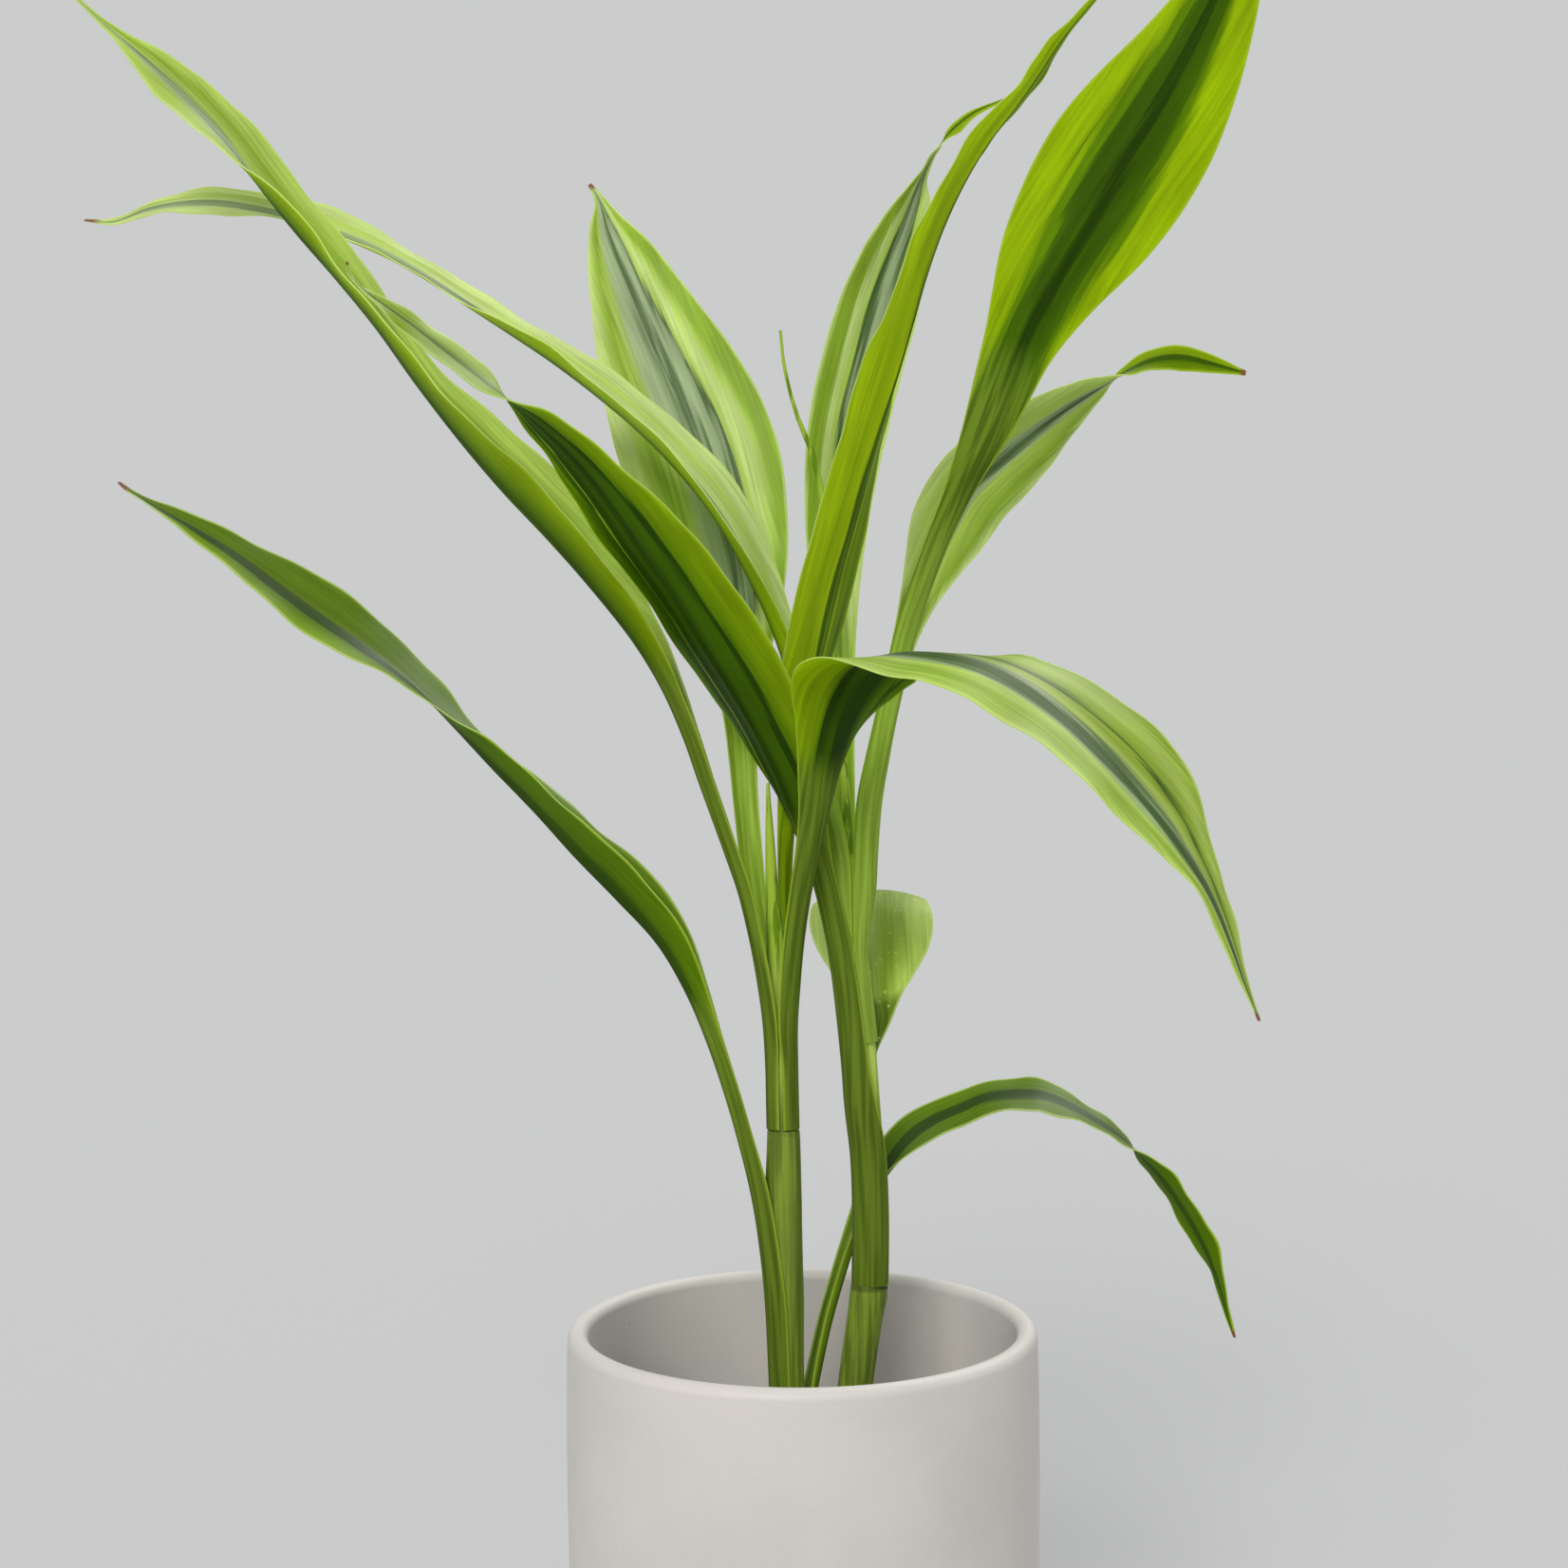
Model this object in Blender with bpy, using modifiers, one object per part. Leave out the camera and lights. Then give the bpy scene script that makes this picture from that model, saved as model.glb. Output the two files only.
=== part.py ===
"""Variegated lucky bamboo, two leafy shoots in a plain ceramic cylinder pot.

Tables are in millimetres and degrees. The meshes are in metres, +Z up, and the
origin is the centre of the pot's base.
"""

from math import cos, pi, radians, sin

import bmesh
import bpy
from mathutils import Matrix, Vector

MM = 0.001
NAME = "potted_lucky_bamboo"

# Pot
POT_HEIGHT = 115.0
POT_RADIUS = 55.0
WALL = 4.8
FLOOR = 6.0
BASE_ROUND = 3.0
INNER_ROUND = 6.0
SWELL = 0.3
SWELL_BELOW_RIM = 26.0
POT_SIDES = 72

# Soil and the holes that the two canes stand in
SOIL_BELOW_RIM = 35.0
SOIL_LUMP = 0.8
SOIL_RINGS = 7
GAP = 0.3
HOLE_SIDES = 16
HOLE_LENGTH = 60.0

# Leaves
BLADE = 0.65
ROWS = 34
CELLS = 3
SHEATH_GAP = 0.38

# Shares of a leaf's length: where its edge starts to wave, how far on the wave
# is full, and how far before the tip it starts to fade.
WAVE_FROM = 0.35
WAVE_RISE = 0.2
WAVE_FALL = 0.1

# How far to each side, in stations, a leaf's direction is measured
TRAVEL_REACH = 0.05

CANE_BEVEL_RESOLUTION = 4

# The viewpoint that places the plant: tables give each point as it looks from
# here on the upright plane through the pot's axis, and how far behind that
# plane it lies. Heights in the tables are above the rim.
EYE = Vector((-3.3, -480.0, POT_HEIGHT + 126.7))

# Canes: seen x, height above the rim, distance behind the axis, radius.
# Above its sheaths' node each cane is a thin core that ends in a furled new leaf.
LEFT_STEM = [
    (-2.4, -55.0, -1.0, 3.9), (-3.0, -30.0, -1.0, 3.8), (-3.5, -10.0, -1.0, 3.8), (-3.8, 5.0, -1.0, 4.2),
    (-4.1, 16.0, -1.0, 4.4), (-4.2, 28.0, -1.0, 4.4), (-4.1, 40.0, -1.0, 4.0), (-4.1, 44.4, -1.0, 3.8),
    (-4.1, 45.2, -1.0, 2.7), (-4.3, 60.0, -1.0, 2.7),
    (-4.7, 75.0, -1.0, 2.7), (-5.4, 88.0, -0.8, 2.2), (-6.2, 100.0, -0.5, 1.6), (-6.7, 113.0, -0.3, 1.1),
    (-7.0, 122.0, -0.2, 0.6), (-7.1, 127.0, -0.2, 0.35),
]
RIGHT_STEM = [
    (9.4, -55.0, 6.0, 4.2), (10.9, -30.0, 6.0, 4.2), (12.5, -14.0, 6.0, 4.2), (14.6, 0.0, 6.0, 4.25),
    (15.6, 5.5, 6.0, 4.6), (16.0, 8.0, 6.0, 4.3), (16.1, 9.0, 6.0, 3.1), (16.4, 20.0, 6.0, 3.1),
    (16.3, 32.0, 6.0, 3.1), (15.4, 50.0, 6.0, 3.1), (14.7, 65.0, 6.0, 2.9), (13.8, 80.0, 6.2, 2.4),
    (12.9, 95.0, 7.0, 1.8), (11.9, 110.0, 9.0, 1.4), (10.6, 130.0, 12.5, 1.2), (9.0, 150.0, 16.5, 1.1),
    (8.0, 170.0, 19.0, 1.0), (6.8, 190.0, 19.5, 0.9), (4.4, 203.0, 19.0, 0.7), (2.0, 209.5, 18.5, 0.6),
    (0.3, 214.0, 18.0, 0.5), (-1.4, 220.0, 17.5, 0.45), (-2.6, 226.0, 17.0, 0.4), (-3.3, 233.5, 16.5, 0.35),
]

# Leaf stations, base to tip: seen x, height above the rim, distance behind the
# axis, half width, face, fold, curl. A face that is a number turns the upper
# side from the viewer (0) to the right of the leaf's travel (90); a face that
# is a vector is where the upper side looks. Fold raises the halves from the
# midrib, and curl bends each of them on as far as its edge.
LEAVES = {}


def leaf(name, clasp, wave, stations):
    """Keeps one leaf: clasp = cane, azimuth, (height, wrap) rows; wave = height, count, phase."""
    LEAVES[name] = (clasp, wave, stations)


leaf("leaf_low_left", ("left", 196.0, ((-33.0, 80.0), (-14.0, 80.0), (5.0, 76.0))), (0.5, 9.0, 0.4), [
    (-9.7, 19.0, -2.4, 5.5, 105.0, 0.0, 70.0),
    (-11.7, 31.0, -2.5, 5.2, 100.0, 0.0, 95.0),
    (-14.6, 43.0, -2.5, 4.4, 92.0, 0.0, 125.0),
    (-17.7, 54.0, -2.5, 4.3, 90.0, 5.0, 120.0),
    (-21.7, 66.0, -2.0, 4.5, 88.0, 10.0, 105.0),
    (-26.7, 78.0, -1.5, 6.3, 85.0, 25.0, 60.0),
    (-33.4, 89.5, -1.0, 10.5, 83.0, 35.0, 25.0),
    (-42.9, 100.0, 0.0, 13.0, 82.0, 42.0, 5.0),
    (-52.5, 110.0, 1.0, 13.0, 84.0, 38.0, 0.0),
    (-62.0, 120.7, 2.0, 12.0, 87.0, 33.0, 0.0),
    (-72.0, 131.2, 3.0, 10.5, 89.0, 25.0, 0.0),
    (-80.5, 140.5, 4.0, 9.5, 84.0, 16.0, 0.0),
    (-89.5, 150.0, 5.0, 9.5, 70.0, 10.0, 0.0),
    (-100.0, 159.2, 6.0, 9.8, 54.0, 6.0, 0.0),
    (-112.0, 168.0, 7.0, 9.6, 45.0, 5.0, 0.0),
    (-124.0, 176.7, 8.0, 8.0, 45.0, 5.0, 0.0),
    (-136.0, 185.0, 9.0, 5.0, 50.0, 5.0, 0.0),
    (-147.0, 191.3, 10.0, 2.8, 52.0, 5.0, 0.0),
    (-156.0, 196.5, 10.5, 0.9, 55.0, 5.0, 0.0),
    (-159.5, 199.0, 10.5, 0.4, 55.0, 5.0, 0.0),
])

leaf("leaf_low_right", ("left", 20.0, ((-33.0, 45.0), (-27.0, 45.0))), (0.5, 8.0, 1.1), [
    (3.4, -14.0, 3.5, 3.4, -60.0, 0.0, 110.0),
    (6.3, -1.0, 7.5, 3.5, -60.0, 0.0, 120.0),
    (9.3, 9.5, 11.0, 3.5, -60.0, 0.0, 120.0),
    (12.6, 19.5, 14.0, 3.6, -60.0, 0.0, 110.0),
    (16.5, 29.0, 15.8, 4.3, -58.0, 5.0, 80.0),
    (21.0, 36.8, 16.0, 5.8, -55.0, 10.0, 40.0),
    (26.3, 43.2, 16.0, 7.0, -52.0, 8.0, 10.0),
    (31.8, 47.0, 15.5, 7.2, -55.0, 6.0, 0.0),
    (37.8, 49.6, 15.0, 7.4, -58.0, 4.0, 0.0),
    (44.0, 52.2, 14.5, 7.8, -60.0, 3.0, 0.0),
    (51.0, 52.9, 13.5, 8.0, -60.0, 3.0, 0.0),
    (57.5, 52.4, 12.5, 7.6, -62.0, 3.0, 0.0),
    (64.0, 49.8, 11.5, 7.0, -66.0, 3.0, 0.0),
    (70.0, 46.4, 10.5, 6.5, -72.0, 3.0, 0.0),
    (75.5, 42.6, 9.5, 6.2, -82.0, 3.0, 0.0),
    (80.5, 38.2, 8.5, 6.0, -98.0, 3.0, 0.0),
    (84.8, 33.5, 8.0, 5.8, -112.0, 4.0, 0.0),
    (88.8, 28.0, 7.5, 5.4, -120.0, 4.0, 0.0),
    (92.5, 22.0, 7.0, 5.0, -122.0, 4.0, 0.0),
    (95.8, 15.5, 6.5, 4.3, -122.0, 4.0, 0.0),
    (98.3, 8.5, 6.0, 2.8, -120.0, 4.0, 0.0),
    (100.2, 1.0, 6.0, 1.2, -120.0, 4.0, 0.0),
    (101.8, -4.5, 6.0, 0.4, -120.0, 4.0, 0.0),
])

leaf("leaf_left_long", ("left", 206.0, ((45.7, 50.0), (53.0, 50.0), (60.0, 50.0))), (0.5, 10.0, 0.0), [
    (-8.1, 70.0, -3.3, 3.8, 114.0, 0.0, 50.0),
    (-9.5, 80.0, -3.8, 4.0, 108.0, 0.0, 58.0),
    (-11.5, 90.5, -4.2, 4.2, 100.0, 0.0, 72.0),
    (-14.0, 101.0, -4.5, 4.4, 94.0, 0.0, 88.0),
    (-17.0, 110.0, -4.5, 4.5, 90.0, 0.0, 100.0),
    (-20.0, 118.5, -4.5, 4.5, 88.0, 0.0, 108.0),
    (-23.2, 127.5, -4.5, 4.5, 88.0, 5.0, 105.0),
    (-26.8, 138.0, -4.5, 4.8, 86.0, 10.0, 90.0),
    (-31.8, 149.5, -5.0, 6.0, 82.0, 20.0, 60.0),
    (-38.7, 161.0, -5.0, 8.5, 78.0, 35.0, 25.0),
    (-48.5, 173.5, -5.0, 12.5, 75.0, 42.0, 8.0),
    (-58.5, 185.0, -4.5, 15.0, 73.0, 43.0, 0.0),
    (-69.0, 196.3, -4.0, 15.5, 73.0, 42.0, 0.0),
    (-79.0, 208.3, -3.0, 14.0, 76.0, 34.0, 0.0),
    (-89.0, 221.5, -2.0, 11.5, 80.0, 24.0, 0.0),
    (-98.5, 235.0, -1.0, 9.8, 78.0, 25.0, 0.0),
    (-108.0, 246.8, 0.0, 9.3, 74.0, 31.0, 0.0),
    (-117.0, 257.3, 1.0, 10.0, 72.0, 38.0, 0.0),
    (-126.0, 268.8, 2.0, 10.8, 67.0, 26.0, 0.0),
    (-133.0, 278.8, 2.5, 10.8, 60.0, 12.0, 0.0),
    (-140.5, 287.7, 3.0, 9.0, 48.0, 5.0, 0.0),
    (-148.0, 295.0, 3.5, 6.0, 40.0, 4.0, 0.0),
    (-156.0, 302.0, 4.0, 2.6, 36.0, 4.0, 0.0),
    (-163.0, 308.0, 4.0, 1.0, 36.0, 4.0, 0.0),
    (-170.0, 314.5, 4.0, 0.4, 36.0, 4.0, 0.0),
])

leaf("leaf_left_arched", ("right", 213.0, ((74.0, 34.0), (81.0, 34.0), (88.0, 34.0))), (0.5, 9.0, 2.0), [
    (9.2, 99.0, 4.4, 3.6, 138.0, 0.0, 62.0),
    (8.1, 110.0, 6.2, 4.2, 132.0, 0.0, 80.0),
    (5.7, 122.0, 10.0, 4.4, 118.0, 0.0, 100.0),
    (2.6, 135.0, 15.5, 4.6, 100.0, 0.0, 100.0),
    (-1.2, 149.0, 18.0, 5.5, 88.0, 10.0, 70.0),
    (-5.5, 162.5, 17.5, 7.5, 80.0, 18.0, 35.0),
    (-11.0, 175.0, 16.8, 10.5, 74.0, 24.0, 10.0),
    (-17.5, 187.0, 16.5, 13.0, 72.0, 25.0, 0.0),
    (-25.5, 198.0, 16.5, 14.0, 72.0, 25.0, 0.0),
    (-35.5, 208.8, 17.0, 12.5, 74.0, 26.0, 0.0),
    (-46.0, 218.0, 17.0, 11.0, 76.0, 26.0, 0.0),
    (-57.0, 226.5, 17.5, 10.0, 78.0, 25.0, 0.0),
    (-68.0, 234.0, 18.0, 9.3, 79.0, 22.0, 0.0),
    (-79.0, 241.3, 19.0, 8.8, 76.0, 14.0, 0.0),
    (-90.0, 248.5, 20.0, 8.5, 74.0, 12.0, 0.0),
    (-101.0, 254.0, 21.0, 8.7, 74.0, 20.0, 0.0),
    (-112.0, 258.3, 22.0, 9.0, 70.0, 22.0, 0.0),
    (-122.0, 261.8, 23.0, 8.6, 66.0, 14.0, 0.0),
    (-133.0, 264.3, 24.0, 7.2, 64.0, 6.0, 0.0),
    (-143.0, 264.6, 25.0, 5.8, 64.0, 4.0, 0.0),
    (-152.0, 263.2, 26.0, 3.8, 64.0, 4.0, 0.0),
    (-160.0, 260.4, 27.0, 1.2, 64.0, 4.0, 0.0),
    (-167.0, 260.8, 28.0, 0.4, 64.0, 4.0, 0.0),
])

leaf("leaf_front_left", ("right", 200.0, ((9.2, 150.0), (24.0, 150.0), (38.0, 148.0))), (0.5, 9.0, 0.8), [
    (11.2, 50.0, 3.2, 8.0, 118.0, 0.0, 105.0),
    (10.8, 60.5, 2.4, 5.8, 128.0, 0.0, 82.0),
    (10.1, 72.0, 2.0, 4.8, 140.0, 0.0, 76.0),
    (8.8, 84.0, 1.8, 4.3, 148.0, 0.0, 85.0),
    (6.8, 95.0, 1.0, 4.2, 148.0, 0.0, 90.0),
    (4.2, 105.5, 0.0, 4.4, 146.0, 0.0, 90.0),
    (1.0, 115.2, -2.0, 6.3, 143.0, 10.0, 65.0),
    (-2.9, 125.3, -4.0, 9.2, 138.0, 20.0, 25.0),
    (-8.2, 136.3, -6.7, 12.2, 134.0, 22.0, 5.0),
    (-14.6, 147.9, -10.3, 14.5, 130.0, 20.0, 0.0),
    (-21.8, 159.7, -14.2, 15.8, 128.0, 18.0, 0.0),
    (-29.0, 171.5, -18.5, 16.0, 127.0, 15.0, 0.0),
    (-36.0, 182.0, -22.5, 14.5, 127.0, 10.0, 0.0),
    (-43.5, 193.0, -26.0, 12.0, 126.0, 5.0, 0.0),
    (-51.5, 203.0, -29.5, 10.0, 125.0, 3.0, 0.0),
    (-59.5, 211.0, -32.5, 8.0, 115.0, 3.0, 0.0),
    (-66.5, 217.0, -35.0, 6.8, 95.0, 3.0, 0.0),
    (-73.0, 221.8, -37.0, 6.3, 72.0, 3.0, 0.0),
    (-80.5, 227.8, -39.0, 5.8, 58.0, 3.0, 0.0),
    (-88.0, 233.8, -41.0, 4.6, 58.0, 3.0, 0.0),
    (-95.0, 239.0, -43.0, 2.8, 58.0, 3.0, 0.0),
    (-101.0, 243.5, -44.5, 1.2, 58.0, 3.0, 0.0),
    (-104.5, 247.5, -45.5, 0.5, 58.0, 3.0, 0.0),
    (-105.3, 250.5, -46.0, 0.4, 58.0, 3.0, 0.0),
])

leaf("leaf_back_broad", ("left", 105.0, ((49.0, 36.0), (68.0, 36.0))), (0.5, 7.0, 0.0), [
    (-7.2, 80.0, 3.6, 3.0, 5.0, 0.0, 60.0),
    (-8.9, 90.0, 4.5, 3.2, 5.0, 0.0, 70.0),
    (-10.4, 100.0, 5.5, 3.5, 5.0, 0.0, 75.0),
    (-11.4, 110.0, 6.5, 3.6, 5.0, 0.0, 75.0),
    (-12.3, 120.0, 8.5, 3.8, 5.0, 0.0, 75.0),
    (-13.0, 130.0, 11.0, 4.0, 5.0, 0.0, 70.0),
    (-13.6, 142.0, 18.0, 5.0, 5.0, 10.0, 50.0),
    (-13.9, 155.0, 25.0, 8.0, 5.0, 12.0, 25.0),
    (-14.6, 168.0, 31.0, 12.5, 5.0, 14.0, 8.0),
    (-16.4, 180.0, 36.0, 16.5, 5.0, 14.0, 0.0),
    (-19.0, 190.0, 39.5, 19.2, 5.0, 14.0, 0.0),
    (-21.6, 200.0, 42.5, 20.6, 5.0, 13.0, 0.0),
    (-24.8, 210.0, 46.0, 20.6, 5.0, 12.0, 0.0),
    (-28.6, 220.0, 49.5, 18.8, 5.0, 11.0, 0.0),
    (-32.6, 230.0, 53.0, 16.2, 5.0, 10.0, 0.0),
    (-36.6, 240.0, 56.5, 13.0, 5.0, 10.0, 0.0),
    (-40.6, 250.0, 60.0, 9.6, 5.0, 10.0, 0.0),
    (-43.6, 258.0, 62.5, 5.2, 5.0, 10.0, 0.0),
    (-45.4, 264.0, 64.5, 1.4, 5.0, 10.0, 0.0),
    (-48.0, 268.3, 66.0, 0.4, 5.0, 10.0, 0.0),
])

leaf("leaf_front_drooping", ("left", -45.0, ((45.7, 44.0), (60.0, 42.0))), (0.5, 7.0, 0.6), [
    (-1.9, 70.0, -5.3, 3.4, -140.0, 0.0, 55.0),
    (-1.2, 80.0, -6.0, 3.6, -140.0, 0.0, 60.0),
    (-0.2, 89.5, -6.8, 3.7, -140.0, 0.0, 68.0),
    (1.3, 99.5, -7.8, 3.8, -142.0, 0.0, 75.0),
    (3.2, 109.5, -9.3, 4.2, -145.0, 0.0, 80.0),
    (5.2, 119.5, -11.5, 5.2, -150.0, 10.0, 60.0),
    (6.8, 129.5, -14.8, 7.4, -158.0, 25.0, 35.0),
    (8.6, 138.5, -18.8, 10.0, -163.0, 30.0, 20.0),
    (11.4, 147.0, -23.0, 13.0, (-0.23, 0.84, 0.46), 16.0, 0.0),
    (15.6, 153.9, -27.5, 15.3, (-0.32, 0.53, 0.77), -2.0, -6.0),
    (22.3, 157.2, -32.5, 16.2, (-0.17, 0.11, 0.98), -8.0, -4.0),
    (30.0, 157.6, -37.5, 16.3, (-0.09, -0.15, 0.985), -9.5, 0.0),
    (38.0, 156.6, -42.0, 16.4, (0.035, -0.31, 0.95), -10.0, 0.0),
    (46.5, 153.9, -46.0, 16.6, (0.19, -0.42, 0.885), -6.5, 0.0),
    (55.5, 148.8, -49.5, 16.8, -62.0, -3.0, 0.0),
    (64.5, 141.4, -52.5, 16.8, -57.0, 5.0, 0.0),
    (73.0, 132.7, -55.5, 16.0, -53.0, 10.0, 0.0),
    (80.5, 124.0, -58.0, 14.5, -52.0, 12.0, 0.0),
    (87.5, 115.2, -60.5, 11.5, -54.0, 10.0, 0.0),
    (93.5, 106.0, -62.5, 7.5, -58.0, 8.0, 0.0),
    (98.0, 97.5, -64.5, 4.5, -60.0, 6.0, 0.0),
    (101.7, 88.0, -66.0, 3.0, -62.0, 5.0, 0.0),
    (104.8, 79.0, -67.5, 1.8, -62.0, 5.0, 0.0),
    (108.2, 70.0, -69.0, 0.4, -62.0, 5.0, 0.0),
])

leaf("leaf_centre_upright", ("left", 28.0, ((51.0, 24.0), (76.0, 24.0))), (0.4, 9.0, 0.2), [
    (-2.2, 92.0, 3.5, 2.8, -100.0, 0.0, 70.0),
    (-2.2, 103.0, 5.0, 3.2, -115.0, 0.0, 80.0),
    (-1.6, 115.0, 6.5, 3.8, -120.0, 0.0, 80.0),
    (-0.4, 127.0, 6.5, 5.0, -120.0, 5.0, 60.0),
    (1.3, 139.0, 3.5, 7.5, -120.0, 8.0, 30.0),
    (3.4, 151.0, -0.5, 10.5, -120.0, 8.0, 12.0),
    (6.0, 163.0, -2.5, 12.5, -120.0, 8.0, 0.0),
    (9.0, 175.0, -3.5, 12.8, -120.0, 8.0, 0.0),
    (12.6, 187.0, -4.5, 12.5, -118.0, 10.0, 0.0),
    (16.4, 199.0, -5.5, 12.5, -116.0, 14.0, 0.0),
    (20.3, 211.0, -6.5, 12.5, -114.0, 20.0, 0.0),
    (24.2, 223.0, -7.5, 12.0, -111.0, 23.0, 0.0),
    (27.8, 235.0, -9.0, 11.0, -106.0, 23.0, 0.0),
    (31.2, 246.5, -10.5, 10.0, -102.0, 22.0, 0.0),
    (35.2, 257.5, -12.0, 9.0, -102.0, 22.0, 0.0),
    (40.2, 268.0, -13.5, 8.0, -104.0, 22.0, 0.0),
    (46.3, 278.0, -15.0, 6.8, -108.0, 18.0, 0.0),
    (52.4, 286.0, -16.5, 5.4, -112.0, 10.0, 0.0),
    (57.8, 293.5, -17.5, 4.2, -115.0, 10.0, 0.0),
    (62.6, 300.6, -18.5, 3.2, -118.0, 10.0, 0.0),
    (68.2, 307.5, -19.5, 1.9, -118.0, 10.0, 0.0),
    (76.5, 317.0, -20.5, 0.4, -118.0, 10.0, 0.0),
])

leaf("leaf_centre_back", ("right", 110.0, ((70.0, 38.0), (84.0, 38.0))), (0.4, 8.0, 1.5), [
    (11.5, 100.0, 12.8, 3.0, 0.0, 0.0, 70.0),
    (11.0, 114.0, 15.3, 3.0, 0.0, 0.0, 70.0),
    (10.4, 130.0, 18.0, 3.4, 5.0, 0.0, 60.0),
    (9.8, 145.0, 21.0, 3.9, 8.0, 5.0, 40.0),
    (9.2, 160.0, 24.0, 4.8, 10.0, 10.0, 20.0),
    (8.8, 175.0, 27.0, 6.8, 12.0, 12.0, 5.0),
    (9.3, 190.0, 30.5, 8.6, 15.0, 12.0, 0.0),
    (10.6, 203.0, 33.5, 10.2, 18.0, 12.0, 0.0),
    (12.7, 215.5, 37.5, 11.2, 20.0, 12.0, 0.0),
    (15.8, 227.5, 41.0, 11.6, 22.0, 12.0, 0.0),
    (19.0, 238.0, 44.0, 11.2, 22.0, 12.0, 0.0),
    (22.4, 248.0, 47.0, 10.2, 25.0, 12.0, 0.0),
    (25.8, 257.0, 49.5, 7.8, 30.0, 14.0, 0.0),
    (28.6, 265.0, 51.5, 4.6, 38.0, 20.0, 0.0),
    (31.0, 271.0, 53.0, 2.0, 55.0, 15.0, 0.0),
    (34.3, 276.3, 54.5, 1.8, 90.0, 5.0, 0.0),
    (38.2, 280.8, 56.0, 2.2, 125.0, 5.0, 0.0),
    (43.2, 284.6, 57.5, 1.4, 135.0, 5.0, 0.0),
    (50.0, 287.5, 59.0, 0.4, 135.0, 5.0, 0.0),
])

leaf("leaf_right_tall", ("right", -48.0, ((66.0, 54.0), (74.0, 52.0), (81.0, 50.0), (88.0, 46.0))), (0.5, 8.0, 0.9), [
    (15.9, 100.0, 3.0, 3.5, -165.0, 0.0, 70.0),
    (16.2, 111.0, 2.5, 3.7, -170.0, 0.0, 70.0),
    (17.0, 122.0, 2.0, 3.8, -172.0, 0.0, 70.0),
    (18.9, 132.5, 1.0, 3.6, -175.0, 0.0, 75.0),
    (21.1, 143.0, 0.0, 3.4, -178.0, 0.0, 80.0),
    (23.4, 153.0, -1.5, 3.4, -180.0, 0.0, 80.0),
    (25.8, 163.0, -3.0, 3.4, -182.0, 0.0, 80.0),
    (29.0, 172.5, -5.0, 3.4, -182.0, 0.0, 80.0),
    (32.6, 182.0, -7.0, 3.4, -182.0, 0.0, 75.0),
    (36.6, 191.5, -9.5, 3.6, -182.0, 5.0, 60.0),
    (40.6, 200.5, -12.0, 4.4, -182.0, 8.0, 40.0),
    (44.8, 209.5, -14.5, 5.8, -182.0, 10.0, 20.0),
    (48.6, 219.0, -17.5, 7.0, -182.0, 10.0, 8.0),
    (52.5, 229.0, -20.5, 8.1, -182.0, 10.0, 0.0),
    (57.0, 239.0, -24.0, 10.8, -182.0, 10.0, 0.0),
    (62.4, 249.5, -27.5, 14.1, -182.0, 9.0, 0.0),
    (69.5, 260.5, -31.5, 16.6, -182.0, 8.0, 0.0),
    (76.8, 271.5, -35.5, 17.3, -182.0, 8.0, 0.0),
    (84.9, 283.0, -40.0, 15.9, -182.0, 8.0, 0.0),
    (92.6, 295.0, -44.5, 12.7, -182.0, 8.0, 0.0),
    (99.4, 307.5, -49.0, 9.3, -182.0, 8.0, 0.0),
    (105.2, 319.5, -53.5, 5.7, -182.0, 8.0, 0.0),
    (109.6, 330.5, -57.5, 2.5, -182.0, 8.0, 0.0),
    (113.4, 341.0, -61.0, 0.4, -182.0, 8.0, 0.0),
])

leaf("leaf_right_small", ("right", 38.0, ((72.0, 22.0), (88.0, 22.0))), (0.4, 7.0, 0.1), [
    (16.2, 104.0, 10.0, 2.2, -20.0, 0.0, 70.0),
    (17.4, 118.0, 10.0, 2.4, -15.0, 0.0, 75.0),
    (19.2, 132.0, 11.5, 2.6, -10.0, 0.0, 80.0),
    (21.5, 146.0, 13.5, 2.9, 0.0, 0.0, 80.0),
    (24.4, 158.0, 16.5, 3.3, 10.0, 5.0, 60.0),
    (27.4, 168.0, 20.0, 4.6, 15.0, 10.0, 30.0),
    (30.8, 177.0, 23.5, 7.4, 18.0, 12.0, 8.0),
    (34.6, 186.0, 27.5, 10.8, 20.0, 12.0, 0.0),
    (40.0, 194.9, 32.0, 12.2, 25.0, 12.0, 0.0),
    (47.4, 202.0, 36.5, 11.8, 30.0, 12.0, 0.0),
    (55.2, 208.4, 41.0, 10.8, 35.0, 12.0, 0.0),
    (62.6, 213.6, 45.0, 8.8, 40.0, 10.0, 0.0),
    (69.2, 217.8, 49.0, 5.8, 52.0, 8.0, 0.0),
    (74.6, 221.0, 52.0, 3.8, 76.0, 5.0, 0.0),
    (79.2, 223.6, 54.5, 3.4, 114.0, 5.0, 0.0),
    (84.8, 225.9, 57.0, 3.7, 146.0, 5.0, 0.0),
    (91.0, 226.4, 59.5, 3.7, 155.0, 5.0, 0.0),
    (98.4, 224.8, 62.0, 2.6, 157.0, 5.0, 0.0),
    (106.2, 222.6, 64.0, 0.4, 157.0, 5.0, 0.0),
])

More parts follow.
